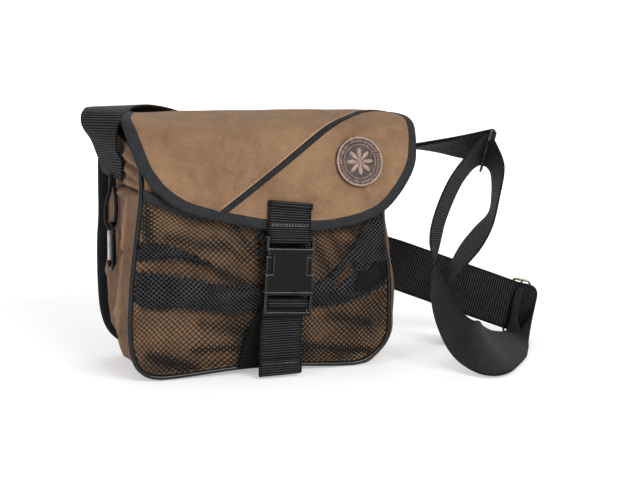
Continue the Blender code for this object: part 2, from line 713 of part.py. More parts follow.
def doubled(rows, gap):
    # out along one face and back along the other, with a turn at the far end
    points = [Vector(r[:3]) for r in rows]
    sides = [Vector(r[3:]).normalized() for r in rows]
    normals = []
    for i in range(len(rows)):
        run = points[min(i + 1, len(rows) - 1)] - points[max(i - 1, 0)]
        normals.append(run.cross(sides[i]).normalized())
    top = [(*(p + n * gap), *s) for p, n, s in zip(points, normals, sides)]
    low = [(*(p - n * gap), *s) for p, n, s in zip(points, normals, sides)]
    return top, low


topRows, lowRows = doubled(tabRows, 1.1)
wide = Vector(ringWidth).normalized()
run = (Vector(ringOuter) - Vector(ringInner))
run = (run - wide * run.dot(wide)).normalized()
reach = Vector((1.0, 0.0, 0.31))
reach = (reach - wide * reach.dot(wide)).normalized()
rise = wide.cross(reach).normalized()
rollRows = []
for angle in (75, 40, 0, -40, -75, -105):
    turn = reach * math.cos(math.radians(angle)) - rise * math.sin(math.radians(angle))
    rollRows.append((*(Vector(ringOuter) + turn * 2.7), *wide))
rollRows = rollRows[::-1]
strip("strap_tab", lowRows[:-1] + rollRows + topRows[:-1][::-1], shoulderWidth, strapThick,
      "webbing", per=2, across=2)


def rectangleLoop(inner, outer, width, reachOut, corner):
    # rounded rectangle through two bars
    inner, outer = Vector(inner), Vector(outer)
    across = outer - inner
    across = across - width * across.dot(width)
    half = across / 2
    centre = inner + half
    unit = half.normalized()
    a, b = reachOut, half.length
    points = []
    for cu, cv, start in ((1, 1, 0), (-1, 1, 90), (-1, -1, 180), (1, -1, 270)):
        for step in range(4):
            angle = math.radians(start + 30 * step)
            u = cu * (a - corner) + corner * math.cos(angle)
            v = cv * (b - corner) + corner * math.sin(angle)
            points.append(centre + width * u + unit * v)
    return points


tube("strap_ring", rectangleLoop(ringInner, ringOuter, wide, 27.2, 2.4), barRadius, "brass",
     cyclic=True)

sliderWide = Vector((0.2, 0.0, 0.98)).normalized()
sliderRun = Vector(sliderAlong)
sliderRun = (sliderRun - sliderWide * sliderRun.dot(sliderWide)).normalized()
sliderOut = sliderRun.cross(sliderWide).normalized()
centre = Vector(sliderCentre)
back = centre - sliderOut * 2.4
frameTube = tube("strap_slider", rectangleLoop(back - sliderRun * 8.6, back + sliderRun * 8.6,
                                               sliderWide, 27.7, 3.0), 1.2, "brass", cyclic=True)
slider = meshFromCurve(frameTube)
bag.objects.link(slider)
bar = tube("slider_bar", [back + sliderWide * 27.7, centre + sliderWide * 26.4,
                          centre - sliderWide * 26.4, back - sliderWide * 27.7], 1.15, "brass")
barMesh = meshFromCurve(bar)
combine(slider, barMesh.data, "UNION")

# clip: tape loop on the left side, snap body and its gate
loopRows = [
    (-120.5, 4.0, 178.0), (-120.6, 4.0, 171.0), (-121.3, 3.6, 160.0), (-121.5, 2.0, 148.0), (-121.4, 0.4, 137.0),
    (-121.6, 0.0, 132.4), (-124.7, -0.2, 128.8), (-128.0, 0.0, 132.2), (-129.2, 0.8, 138.0),
    (-131.0, 2.6, 147.0), (-131.2, 3.6, 156.0), (-127.4, 4.0, 166.0), (-122.5, 4.0, 172.0), (-122.0, 4.0, 178.0),
]
strip("clip_loop", [(x, y, z, 0.1, -1.0, 0.0) for x, y, z in loopRows], 5.5, 1.2,
      "webbing", per=2, across=1)

# snap body in the plane of the left side: depth and height from its centre
snapAt = Vector((-124.7, -1.0, 113.0))
hinge = (9.6, -13.0)
snapRows = [
    (9.6, -14.6), (9.2, -17.4), (6.4, -20.2), (2.0, -20.9), (-3.0, -19.6), (-6.8, -16.6),
    (-8.8, -12.0), (-9.6, -4.0), (-9.9, 6.0), (-9.8, 12.0), (-8.4, 17.0), (-4.6, 20.2),
    (0.4, 20.8), (5.4, 19.4), (8.6, 16.6), (9.5, 13.8),
]
snapPath = [(snapAt.x, snapAt.y + y, snapAt.z + z) for y, z in smoothRows(snapRows, 2)]
tube("carabiner_body", snapPath, 2.0, "black_alloy", sides=3)
gate = tube("carabiner_gate", [(0.0, 0.0, -0.8), (0.0, 0.0, 25.9)], 1.6, "steel", sides=3)
gate.location = Vector((snapAt.x, snapAt.y + hinge[0], snapAt.z + hinge[1])) * mm
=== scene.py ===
import bpy
import bmesh
from math import cos, exp, hypot, pi, radians, sin
from mathutils import Matrix, Vector, noise


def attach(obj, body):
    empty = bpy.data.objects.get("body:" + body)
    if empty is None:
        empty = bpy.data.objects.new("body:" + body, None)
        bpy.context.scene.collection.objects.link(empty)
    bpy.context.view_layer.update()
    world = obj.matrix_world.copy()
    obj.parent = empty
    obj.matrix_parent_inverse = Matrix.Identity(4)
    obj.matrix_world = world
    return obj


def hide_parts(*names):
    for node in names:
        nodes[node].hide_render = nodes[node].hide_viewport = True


# Soft shoulder bag for training dummies. Tables are in millimetres, front faces -Y.
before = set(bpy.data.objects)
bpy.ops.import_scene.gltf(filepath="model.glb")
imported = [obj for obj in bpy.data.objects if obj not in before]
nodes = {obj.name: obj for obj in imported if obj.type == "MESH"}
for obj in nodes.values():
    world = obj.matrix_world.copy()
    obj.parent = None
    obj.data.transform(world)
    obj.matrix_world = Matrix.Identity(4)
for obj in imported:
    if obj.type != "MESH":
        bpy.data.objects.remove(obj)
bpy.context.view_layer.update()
scene = bpy.context.scene
mm = 0.001
fullTurn = 2 * pi


# colours and shader nodes
def hexColour(text):
    values = [int(text[i:i + 2], 16) / 255 for i in (1, 3, 5)]
    linear = [v / 12.92 if v <= 0.04045 else ((v + 0.055) / 1.055) ** 2.4 for v in values]
    return (*linear, 1)


# material and node tree in work, with the place on the body, across a tape and along it
work = {}


def setInputs(node, inputs):
    # sockets are linked, values are set, a colour may be given in hex
    for key, value in inputs.items():
        if isinstance(value, bpy.types.NodeSocket):
            work["tree"].links.new(value, node.inputs[key])
        else:
            node.inputs[key].default_value = hexColour(value) if isinstance(value, str) else value


def addNode(kind, inputs=None, **settings):
    node = work["tree"].nodes.new("ShaderNode" + kind)
    for key, value in settings.items():
        setattr(node, key, value)
    setInputs(node, inputs or {})
    return node


def mathOf(operation, a, b=0):
    return addNode("Math", {0: a, 1: b}, operation=operation).outputs[0]


def vectorMath(operation, a, inputs, output=0):
    return addNode("VectorMath", {0: a, **inputs}, operation=operation).outputs[output]


def plus(a, b):
    return mathOf("ADD", a, b)


def times(a, b):
    return mathOf("MULTIPLY", a, b)


def waveOf(place, length):
    # sine along a coordinate, its length in millimetres
    return mathOf("SINE", times(place, fullTurn / length))


def blendOf(*parts):
    # sum of values, each times its share
    total = None
    for value, share in parts:
        part = value if share == 1 else times(value, share)
        total = part if total is None else plus(total, part)
    return total


def noiseOf(scale, detail=3, rough=0.55, twist=0):
    inputs = {"Scale": scale, "Detail": detail, "Roughness": rough, "Distortion": twist}
    return addNode("TexNoise", {"Vector": work["body"], **inputs}).outputs["Fac"]


def fade(value, low, high, first=0, last=1):
    inputs = {"Value": value, "From Min": low, "From Max": high, "To Min": first, "To Max": last}
    return addNode("MapRange", inputs).outputs[0]


def roughFrom(value, low, high):
    # roughness between two values, by the middle of a noise
    return fade(value, 0.3, 0.7, low, high)


def blendColour(share, a, b, kind="MIX"):
    node = addNode("Mix", {0: share, 6: a, 7: b}, data_type="RGBA", blend_type=kind)
    return node.outputs[2]


def attributeOf(name):
    return addNode("Attribute", attribute_name=name).outputs["Fac"]


def bevelNormal(radius, samples):
    return addNode("Bevel", {"Radius": radius * mm}, samples=samples).outputs[0]


def newMaterial(name):
    material = bpy.data.materials.new(name)
    material.use_nodes = True
    work.update(material=material, tree=material.node_tree)
    coord = addNode("TexCoord")
    split = addNode("SeparateXYZ", {0: coord.outputs["UV"]})
    work.update(body=coord.outputs["Object"], across=split.outputs[0], along=split.outputs[1])
    return material


def shaded(colour, rough, height, distance, more, rounding=0):
    # the material in work, with its colour, roughness, bump and what more its shader takes
    bump = {"Height": height, "Distance": distance * mm, "Strength": 1}
    if rounding:
        bump["Normal"] = bevelNormal(rounding, 4)
    inputs = {"Base Color": colour, "Roughness": rough, "Normal": addNode("Bump", bump).outputs[0]}
    setInputs(work["tree"].nodes["Principled BSDF"], {**inputs, **more})
    return work["material"]


# canvas: mottled wax, pale rubbed creases, painted shade in the hollows of folds and pale fold crests that
# are part rubbed wear and part painted highlight, a fine weave
def canvasMaterial(name, pale, deep, wornAndHighlight):
    newMaterial(name)
    broad = noiseOf(16, 4, 0.6, 0.4)
    cloud = noiseOf(70, 4, 0.65, 0.3)
    grain = noiseOf(900, 3, 0.7)
    tone = blendOf((broad, 0.6), (cloud, 0.4))
    colour = blendColour(fade(tone, 0.36, 0.62), deep, pale)
    bend = times(noiseOf(60, 3, 0.6), 0.012)
    moved = vectorMath("ADD", work["body"], {1: bend})
    cells = addNode("TexVoronoi", {"Vector": moved, "Scale": 38},
                    feature="DISTANCE_TO_EDGE").outputs["Distance"]
    crease = times(fade(cells, 0, 0.035, 1, 0), fade(cloud, 0.5, 0.7, 0, 0.5))
    colour = blendColour(times(crease, 0.5), colour, wornAndHighlight)
    # painted shade in the hollows of folds; pale crests, part rubbed wear and part painted highlight
    fold = attributeOf("fold")
    colour = blendColour(fade(fold, -0.15, -0.8, 0, 0.92), colour, "#2a1d12")
    colour = blendColour(fade(fold, 0.35, 0.9, 0, 0.5), colour, wornAndHighlight)
    colour = blendColour(1, colour, fade(grain, 0.34, 0.66, 0.86, 1.13), "MULTIPLY")
    weave = times(waveOf(work["across"], 0.7), waveOf(work["along"], 0.7))
    height = blendOf((weave, 0.25), (grain, 1.2), (cloud, 3), (crease, -0.8))
    return shaded(colour, roughFrom(cloud, 0.62, 0.86), height, 0.22,
                  {"Sheen Weight": 0.04, "Specular IOR Level": 0.22})


# webbing: ribs across, yarns along, a smoother woven edge; half is half its width
def webbingMaterial(name, dark, light, pitch, twill, half):
    newMaterial(name)
    zig = mathOf("PINGPONG", work["across"], 4)
    along = blendOf((work["along"], 1), (zig, twill))
    rib = mathOf("ABSOLUTE", waveOf(along, 2 * pitch))
    yarn = plus(times(waveOf(work["across"], 1.15), 0.5), 0.5)
    cloud = noiseOf(120, 4, 0.65)
    fuzz = noiseOf(1300, 2, 0.6)
    edge = fade(mathOf("ABSOLUTE", work["across"]), half - 2.6, half - 1.8)
    # rib crests are painted lighter than their grooves: painted highlight and painted shade on the ribs
    ribs = times(fade(rib, 0.55, 1), fade(yarn, 0, 1, 0.75, 1))
    lit = blendOf((ribs, 1), (plus(cloud, -0.5), 0.5), (edge, -0.35))
    colour = blendColour(fade(lit, 0, 1), dark, light)
    height = blendOf((rib, 1), (yarn, 0.35), (fuzz, 0.3))
    return shaded(colour, roughFrom(fuzz, 0.42, 0.66), height, 0.8, {"Specular IOR Level": 0.2})


# binding tape: fine ribs and one row of stitches, sunk in, at a distance from its edge
def tapeMaterial(name, dark, light, seamAt):
    newMaterial(name)
    rib = waveOf(work["along"], 1.1)
    cloud = noiseOf(150, 4, 0.65)
    fuzz = noiseOf(1100, 2, 0.6)
    gap = mathOf("ABSOLUTE", plus(work["across"], -seamAt))
    dash = mathOf("GREATER_THAN", waveOf(work["along"], 3.2), -0.35)
    line = times(fade(gap, 0.2, 0.55, 1, 0), dash)
    groove = fade(gap, 0.2, 0.9, 1, 0)
    lit = blendOf((cloud, 0.8), (rib, 0.1), (line, 0.25))
    colour = blendColour(fade(lit, 0.1, 0.8), dark, light)
    height = blendOf((rib, 0.35), (fuzz, 0.5), (groove, -1.6), (line, 1.4))
    return shaded(colour, roughFrom(fuzz, 0.6, 0.82), height, 0.2, {"Specular IOR Level": 0.25})


# moulded or extruded plastic; with rounding, edges that look up get a painted highlight
def plasticMaterial(name, dark, light, rough, bump, rounding=0, coat=0, scuffs=0.25, shine=0.36):
    newMaterial(name)
    cloud = noiseOf(60, 4, 0.6)
    fuzz = noiseOf(1400, 3, 0.6)
    scuff = noiseOf(300, 5, 0.75, 1.5)
    colour = blendColour(fade(cloud, 0.3, 0.7), dark, light)
    colour = blendColour(fade(scuff, 0.62, 0.74, 0, scuffs), colour, "#3a3a3b")
    # painted highlight: edges found by the bevel normal, strongest where they face up, are painted pale
    if rounding:
        soft = bevelNormal(rounding * 2, 6)
        true = addNode("NewGeometry").outputs["Normal"]
        agree = vectorMath("DOT_PRODUCT", soft, {1: true}, "Value")
        upward = addNode("SeparateXYZ", {0: soft}).outputs[2]
        edge = times(fade(agree, 0.999, 0.9), fade(upward, -0.3, 0.6, 0.12, 1))
        colour = blendColour(edge, colour, "#b8b8bc")
    return shaded(colour, roughFrom(scuff, rough - 0.08, rough + 0.12), fuzz, bump,
                  {"Coat Weight": coat, "IOR": 1.48, "Specular IOR Level": shine}, rounding)


def metalMaterial(name, clean, tarnish, rough, metallic=1):
    newMaterial(name)
    cloud = noiseOf(220, 4, 0.7, 0.6)
    fuzz = noiseOf(1800, 2, 0.6)
    colour = blendColour(fade(cloud, 0.42, 0.62), clean, tarnish)
    return shaded(colour, roughFrom(cloud, rough - 0.1, rough + 0.15), fuzz, 0.05, {"Metallic": metallic})


def leatherMaterial(name, dark, light):
    newMaterial(name)
    cloud = noiseOf(320, 4, 0.7)
    pores = addNode("TexVoronoi", {"Vector": work["body"], "Scale": 1300}).outputs["Distance"]
    # raised relief painted lighter than the flat leather: a painted highlight
    lit = blendOf((attributeOf("relief"), 1), (plus(cloud, -0.52), 1.7))
    colour = blendColour(fade(lit, 0, 1), dark, light)
    return shaded(colour, roughFrom(cloud, 0.3, 0.5), blendOf((pores, 1), (cloud, 1.5)), 0.12, {})


canvas = canvasMaterial("waxed cotton canvas woven", "#9e7c5d", "#7d6047", "#b6966f")
# the sides and back take a darker copy of the canvas: painted shade on the faces turned from the light
canvasShade = canvasMaterial("waxed cotton canvas woven painted shade", "#90705a", "#6b513b", "#b89872")
# the front cloth under the net takes a copy of the canvas with a brighter and a darker tone: painted light
# and shade seen through the net
canvasDim = canvasMaterial("waxed cotton canvas woven painted light and shade under net", "#b08b69", "#775a43", "#a08060")
# pale tones of the folded edge by the diagonal seam: painted highlight
canvasEdgeHighlight = canvasMaterial("waxed cotton canvas folded edge with painted highlight", "#c9aa86", "#ab8a68", "#d8bd9c")
webbing = webbingMaterial("nylon webbing woven", "#010102", "#4c4c50", 2.4, 0.04, 25)
tapeBraid = webbingMaterial("polyester tape braided", "#020203", "#303032", 1.5, 0.5, 6)
webbingRibbed = webbingMaterial("nylon webbing ribbed", "#010102", "#464649", 2.2, 0, 19.5)
# darker copy of the closing webbing: painted shade for the part behind the net
webbingShadedUnderNet = webbingMaterial("nylon webbing ribbed with painted shade under net", "#020203", "#151516", 2.2, 0, 19.5)
tape = tapeMaterial("nylon binding tape woven", "#1d1e20", "#37383b", 8)
narrowTape = tapeMaterial("nylon narrow tape woven", "#161719", "#2e2f33", 30)
netNylon = plasticMaterial("nylon net knitted", "#040405", "#111112", 0.6, 0.05, scuffs=0, shine=0.25)
# net where it lies doubled: darker, part second layer of net and part painted shade
netDoubledAndShaded = plasticMaterial("nylon net knitted doubled with painted shade", "#020203", "#060607", 0.8, 0.05,
                             scuffs=0, shine=0.12)
# the raised layer of the same black net is painted grey: painted highlight on strands that stand out in
# the light
netRaisedLit = plasticMaterial("nylon net knitted raised with painted highlight", "#242426", "#48484b", 0.5, 0.05, scuffs=0)
vinyl = plasticMaterial("vinyl piping extruded", "#0d0d0e", "#1a1a1b", 0.3, 0.04, coat=0.3)
acetal = plasticMaterial("acetal moulded", "#020203", "#060607", 0.36, 0.05, 0.35, scuffs=0.1, shine=0.24)
thread = plasticMaterial("polyester thread twisted", "#5c5c5e", "#8a8a8c", 0.6, 0.05)
brass = metalMaterial("brass cast aged", "#857860", "#352e25", 0.32)
alloy = plasticMaterial("aluminium anodised black", "#040405", "#0a0a0b", 0.26, 0.03,
                        coat=0.15, scuffs=0.1, shine=0.2)
# the steel gate gets a near-white base and little metal: a painted highlight
steel = metalMaterial("steel wire polished with painted highlight", "#fbfbfa", "#dadada", 0.3, 0.2)
leather = leatherMaterial("cowhide leather embossed", "#33221c", "#b89a8c")
print("materials made")


# geometry helpers
def clamp(value):
    return min(1, max(0, value))


def between(a, b, t):
    return a[0] + (b[0] - a[0]) * t, a[1] + (b[1] - a[1]) * t


def smoothRows(rows, per):
    count = len(rows)
    out = []
    for i in range(count - 1):
        quad = [rows[min(max(i + k - 1, 0), count - 1)] for k in range(4)]
        for step in range(per):
            t = step / per
            row = []
            for a, b, c, d in zip(*quad):
                row.append(0.5 * (2 * b + (c - a) * t + (2 * a - 5 * b + 4 * c - d) * t * t
                                  + (3 * b - a - 3 * c + d) * t ** 3))
            out.append(tuple(row))
    out.append(tuple(rows[-1]))
    return out


def lookUp(table, x, column=1):
    if x <= table[0][0]:
        return table[0][column]
    for low, high in zip(table, table[1:]):
        if x <= high[0]:
            t = (x - low[0]) / (high[0] - low[0] or 1)
            return low[column] + t * (high[column] - low[column])
    return table[-1][column]


def nearFold(a, b, fold):
    # distance from a fold, share of the way along it, and distance past its ends
    a0, b0, a1, b1 = fold[:4]
    da, db = a1 - a0, b1 - b0
    t = ((a - a0) * da + (b - b0) * db) / (da * da + db * db)
    past = max(0, -t, t - 1) * hypot(da, db)
    t = clamp(t)
    return hypot(a - a0 - t * da, b - b0 - t * db), t, past


def foldHeight(a, b, folds):
    # round folds, each given as its two ends, half width and height
    total = 0
    for fold in folds:
        total += fold[5] * exp(-(nearFold(a, b, fold)[0] / fold[4]) ** 2)
    return total


def sharpFold(a, b, folds):
    # folds that come to a crest and die out at both ends
    total = 0
    for fold in folds:
        gap, t, past = nearFold(a, b, fold)
        taper = 0.35 + 0.65 * sin(pi * (0.15 + 0.7 * t))
        total += fold[5] * exp(-(gap / fold[4]) ** 1.25) * exp(-past / 6) * taper
    return total


def ripple(a, b, seed, size=34):
    return noise.noise(Vector((a / size, b / size, seed)))


def pathNormals(path):
    out = []
    for i in range(len(path)):
        a = path[max(i - 1, 0)]
        b = path[min(i + 1, len(path) - 1)]
        dx, dz = b[0] - a[0], b[1] - a[1]
        length = hypot(dx, dz) or 1
        out.append((dz / length, -dx / length))
    return out


def offsetPath(path, inset):
    return [(p[0] - n[0] * inset, p[1] - n[1] * inset) for p, n in zip(path, pathNormals(path))]


def pathLengths(path):
    out = [0]
    for p, q in zip(path, path[1:]):
        out.append(out[-1] + hypot(q[0] - p[0], q[1] - p[1]))
    return out


def spreadUv(mesh, flat):
    layer = mesh.uv_layers.new(name="cloth")
    corners = [0] * len(mesh.loops)
    mesh.loops.foreach_get("vertex_index", corners)
    layer.data.foreach_set("uv", [c for i in corners for c in flat[i]])


def turnOutward(shape):
    bmesh.ops.recalc_face_normals(shape, faces=shape.faces)


def makeMesh(rows, uvs, wrap=False):
    # mesh through rows of points; with wrap, rows are closed rings and both ends are capped
    mesh = bpy.data.meshes.new("cloth")
    count, across = len(rows), len(rows[0])
    points = [(p[0] * mm, p[1] * mm, p[2] * mm) for row in rows for p in row]
    faces = []
    for i in range(count - 1):
        for k in range(across if wrap else across - 1):
            n = (k + 1) % across
            faces.append((i * across + k, i * across + n, (i + 1) * across + n, (i + 1) * across + k))
    if wrap:
        faces.append(tuple(range(across))[::-1])
        faces.append(tuple((count - 1) * across + k for k in range(across)))
    mesh.from_pydata(points, [], faces)
    spreadUv(mesh, [uv for row in uvs for uv in row])
    if wrap:
        shape = bmesh.new()
        shape.from_mesh(mesh)
        turnOutward(shape)
        shape.to_mesh(mesh)
        shape.free()
    return mesh


def markPoints(mesh, name, values):
    mesh.attributes.new(name, "FLOAT", "POINT").data.foreach_set("value", values)


def placeObject(name, data):
    data.name = name
    obj = bpy.data.objects.new(name, data)
    scene.collection.objects.link(obj)
    return obj


def aimAt(obj, place, target):
    obj.location = place
    obj.rotation_euler = (Vector(target) - Vector(place)).to_track_quat("-Z", "Y").to_euler()


def addPiece(name, mesh, material, replaced=(), thick=0):
    obj = placeObject(name, mesh)
    mesh.materials.append(material)
    mesh.polygons.foreach_set("use_smooth", [True] * len(mesh.polygons))
    if thick:
        solid = obj.modifiers.new("thickness", "SOLIDIFY")
        solid.thickness = thick * mm
        solid.offset = 0
    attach(obj, "bag")
    if replaced:
        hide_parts(*replaced)
    return obj


def secondMaterial(obj, material, chosen):
    # a second material on the faces whose centre, in millimetres, is chosen
    obj.data.materials.append(material)
    for polygon in obj.data.polygons:
        if chosen(polygon.center / mm):
            polygon.material_index = 1


def sectionOf(width, thick, steps, edge=0.5):
    # flat tape section: positions across and out of the tape, once round
    top = [(-width / 2 + edge + (width - 2 * edge) * k / steps, thick / 2) for k in range(steps + 1)]
    low = [(a, -b) for a, b in reversed(top)]
    return [(-width / 2, 0)] + top + [(width / 2, 0)] + low


def tapeNormals(points, sides):
    out = []
    for i, side in enumerate(sides):
        run = points[min(i + 1, len(points) - 1)] - points[max(i - 1, 0)]
        out.append(run.cross(side).normalized())
    return out


def sweep(rows, section, skew=(), flare=()):
    # tape along rows of a centre and a width direction; skew slants its ribs, flare widens it
    points = [Vector(r[:3]) for r in rows]
    sides = [Vector(r[3:6]).normalized() for r in rows]
    out, uvs = [], []
    reach = 0
    for i, (p, s, normal) in enumerate(zip(points, sides, tapeNormals(points, sides))):
        reach += (p - points[i - 1]).length if i else 0
        wider = lookUp(flare, i) if flare else 1
        slant = lookUp(skew, i) if skew else 0
        out.append([p + s * a * wider + normal * b for a, b in section])
        uvs.append([(a, reach + a * slant) for a, b in section])
    return makeMesh(out, uvs, wrap=True)


def ringOf(sides):
    return [(cos(fullTurn * k / sides), sin(fullTurn * k / sides)) for k in range(sides)]


def roundTube(points, radius, sides=14):
    out, uvs = [], []
    reach = 0
    points = [Vector(p) for p in points]
    side = None
    for i, p in enumerate(points):
        run = (points[min(i + 1, len(points) - 1)] - points[max(i - 1, 0)]).normalized()
        side = run.orthogonal() if side is None else side - run * side.dot(run)
        side.normalize()
        other = run.cross(side)
        reach += (p - points[i - 1]).length if i else 0
        out.append([p + side * c * radius + other * s * radius for c, s in ringOf(sides)])
        uvs.append([(radius * fullTurn * k / sides, reach) for k in range(sides)])
    return makeMesh(out, uvs, wrap=True)


def stitchRow(name, points, form, material, lift):
    # separate thread stitches along a line, each a short capsule lying on the cloth
    path = [Vector(p) for p in points]
    radius = form["radius"]
    profile = ((0, 0.3), (0.18, 1), (0.82, 1), (1, 0.3))
    corners = 6
    reach, want = 0, form["gap"]
    marks = []
    for a, b in zip(path, path[1:]):
        step = (b - a).length
        while want <= reach + step:
            marks.append(a + (b - a) * ((want - reach) / step))
            want += form["length" if len(marks) % 2 else "gap"]
        reach += step
    shape = bmesh.new()
    for a, b in zip(marks[0::2], marks[1::2]):
        side = (b - a).normalized().cross(lift).normalized()
        rings = []
        for t, r in profile:
            centre = a + (b - a) * t + lift * (radius * 0.5 * r)
            rings.append([shape.verts.new((centre + (side * c + lift * s) * radius * r) * mm)
                          for c, s in ringOf(corners)])
        for low, high in zip(rings, rings[1:]):
            for k in range(corners):
                n = (k + 1) % corners
                shape.faces.new((low[k], low[n], high[n], high[k]))
        shape.faces.new(rings[0][::-1])
        shape.faces.new(rings[-1])
    turnOutward(shape)
    mesh = bpy.data.meshes.new(name)
    shape.to_mesh(mesh)
    shape.free()
    addPiece(name, mesh, material)


# body outline: front height, left, right, back height, left, right
bodyTable = [
    (198, -111.2, 109.2, 222, -112, 111), (186.5, -111.6, 110, 192, -113, 110.5),
    (164, -111.5, 112, 166, -113.5, 111), (134.6, -115.1, 113.5, 136, -113.8, 111.5),
    (112.1, -118.1, 116, 112, -115.4, 112), (90, -121, 119.5, 90, -115.8, 112),
    (71, -122.3, 121, 72, -115.6, 112), (48, -123.6, 121, 50, -114.4, 111),
    (31, -122.6, 120.6, 36, -111.4, 108.5), (20, -120, 116, 27, -106.6, 104),
    (12.5, -116.3, 108.8, 20, -99, 98), (7, -110.5, 101.5, 15, -92, 91), (4, -104, 95, 12, -85, 84),
    (2.6, -95, 86, 11, -77, 76),
]
bodyRows = smoothRows(bodyTable, 11)
rowCount = len(bodyRows)
body = {"front": -65, "back": 60, "canvas": 1.6, "piping": 2.1, "arch": 4.4, "blend": 60}
# swell of front and back: half width, height where it is full, and how it eases off above
bulge = {"half": 122, "full": 85, "ease": 120, "share": 0.35, "over": 90}


def bottomLift(x, low, high):
    middle, half = (low + high) / 2, (high - low) / 2
    return body["arch"] * max(0, 1 - ((x - middle) / half) ** 2) ** 2


def bodyPaths(steps=40):
    front = [(row[1], row[0]) for row in bodyRows]
    back = [(row[4], row[3]) for row in bodyRows]
    last = bodyRows[-1]
    for k in range(1, steps):
        x = last[1] + (last[2] - last[1]) * k / steps
        front.append((x, last[0] + bottomLift(x, last[1], last[2])))
        back.append((last[4] + (last[5] - last[4]) * k / steps, last[3]))
    for row in reversed(bodyRows):
        front.append((row[2], row[0]))
        back.append((row[5], row[3]))
    return front, back


frontPath, backPath = bodyPaths()
frontNormals = pathNormals(frontPath)
frontReach = pathLengths(frontPath)


def swell(x, z, high):
    across = max(0, 1 - (x / bulge["half"]) ** 2)
    up = sin(clamp(z / bulge["full"]) * pi / 2)
    if z > bulge["ease"]:
        up -= bulge["share"] * (z - bulge["ease"]) / bulge["over"]
    return high * across * up


def panelGrid(path, inset, depth, across):
    path = offsetPath(path, inset)
    left = path[:rowCount]
    right = path[-rowCount:][::-1]
    bottom = path[rowCount - 1:1 - rowCount]
    grid = []
    for a, b in zip(left, right):
        row = []
        for k in range(across + 1):
            x, z = between(a, b, k / across)
            z += max(0, lookUp(bottom, x) - bottom[0][1]) * max(0, 1 - z / body["blend"])
            row.append((x, depth(x, z), z))
        grid.append(row)
    return grid


# front and back panel; folds from x, z to x, z, half width, height out
frontPanel = {"inset": 2.6, "behind": 1, "swell": 2.6, "half": 118, "edge": 12,
              "wave": 0.6, "size": 26, "seed": 1, "columns": 90}
backPanel = {"inset": 0.4, "swell": 3, "half": 108, "edge": 20,
             "wave": 1.4, "size": 42, "seed": 5, "columns": 60}
frontFolds = [
    (-109, 196, -104, 150, 3, 1.6), (-101, 196, -97, 150, 2.4, -1.6), (-93, 196, -88, 150, 3, 1.4),
    (-70, 120, -10, 60, 14, 1.2), (90, 130, 40, 60, 14, 1),
]


def panelWave(panel, x, z, folds=()):
    # folds and ripples, which die out at the sides
    inside = clamp((panel["half"] - abs(x)) / panel["edge"])
    return inside * (foldHeight(x, z, folds) + panel["wave"] * ripple(x, z, panel["seed"], panel["size"]))


def frontDepth(x, z):
    return (body["front"] + frontPanel["behind"] - swell(x, z, frontPanel["swell"])
            - panelWave(frontPanel, x, z, frontFolds))


def backDepth(x, z):
    return body["back"] + swell(x, z, backPanel["swell"]) + panelWave(backPanel, x, z)


def addPanel(name, path, panel, depth, material, replaced):
    grid = panelGrid(path, panel["inset"], depth, panel["columns"])
    mesh = makeMesh(grid, [[(p[0], p[2]) for p in row] for row in grid])
    return addPiece(name, mesh, material, replaced, body["canvas"])


frontCloth = addPanel("front_cloth", frontPath, frontPanel, frontDepth, canvasDim, ["front_panel"])
backCloth = addPanel("back_cloth", backPath, backPanel, backDepth, canvasShade, ["back_panel"])
print("front and back made")

# net pocket, with what is kept clear at its edges; folds as x, z to x, z, half width, height
pocket = {"pitchX": 5, "pitchZ": 4.5, "open": 0.77, "rise": 4.2, "wander": 1.3, "drift": 7, "bevel": 0.3,
          "half": 126, "high": 175, "side": 1.6, "foot": 2.8, "head": 2, "stand": 1.4, "swell": 9,
          "flat": 0.6}
pocketTop = smoothRows([(-111, 170), (-104, 167), (-80, 157), (-50, 150),
                        (0, 146), (60, 149), (95, 158), (112, 166)], 6)
netFolds = [
    (-90, 32, -10, 24, 8, 1.6), (-112, 50, -60, 40, 6, 1.2), (-20, 130, -70, 118, 4, 1.4),
    (-14, 118, -50, 100, 3.5, 1.2), (40, 130, 64, 88, 4, 1.6), (56, 136, 80, 96, 4, -1.2),
    (-100, 160, -98, 128, 5, 1.2), (40, 18, 100, 22, 7, 1.8), (-30, 50, -70, 20, 6, 1.2),
]
# where the net lies bunched and double, shown black with painted shade behind it: x, upper edge, lower
# edge; the last band is a plain patch, a painted shadow behind the buckle
bunchTables = [
    [(-116.8, 122.6, 107.7), (-97.4, 121.7, 108.5), (-79.8, 117.4, 108.5), (-66, 110.6, 104.2),
     (-56, 105.4, 101.6), (-52, 103, 101)],
    [(-118.5, 97.3, 73.6), (-113.2, 97.1, 67.2), (-99.1, 95.4, 64.6), (-79.8, 92.6, 64.2),
     (-52.3, 85.8, 60.8), (-34, 82.1, 58.8), (-10, 81.7, 60), (20, 80, 60),
     (42.6, 80.2, 58.6), (55.2, 85, 58.9), (62.7, 91, 59.3), (71.5, 99.6, 59.9),
     (84, 113, 63.5), (93.6, 132, 67), (103, 136, 70), (110.4, 137, 72.9), (116.5, 137, 75)],
    [(-8, 129, 100), (38, 129, 100)],
]
bunches = [smoothRows(rows, 6) for rows in bunchTables]
# where the bunched net opens again, and where it lies flat and dark: x, z to x, z, half width, share
netWindows = [(66, 79, 82, 95, 4.2, 1.1), (70, 83, 74, 84, 4, 0.4)]
netFlat = [(92, 80, 114, 90, 13, 1)]
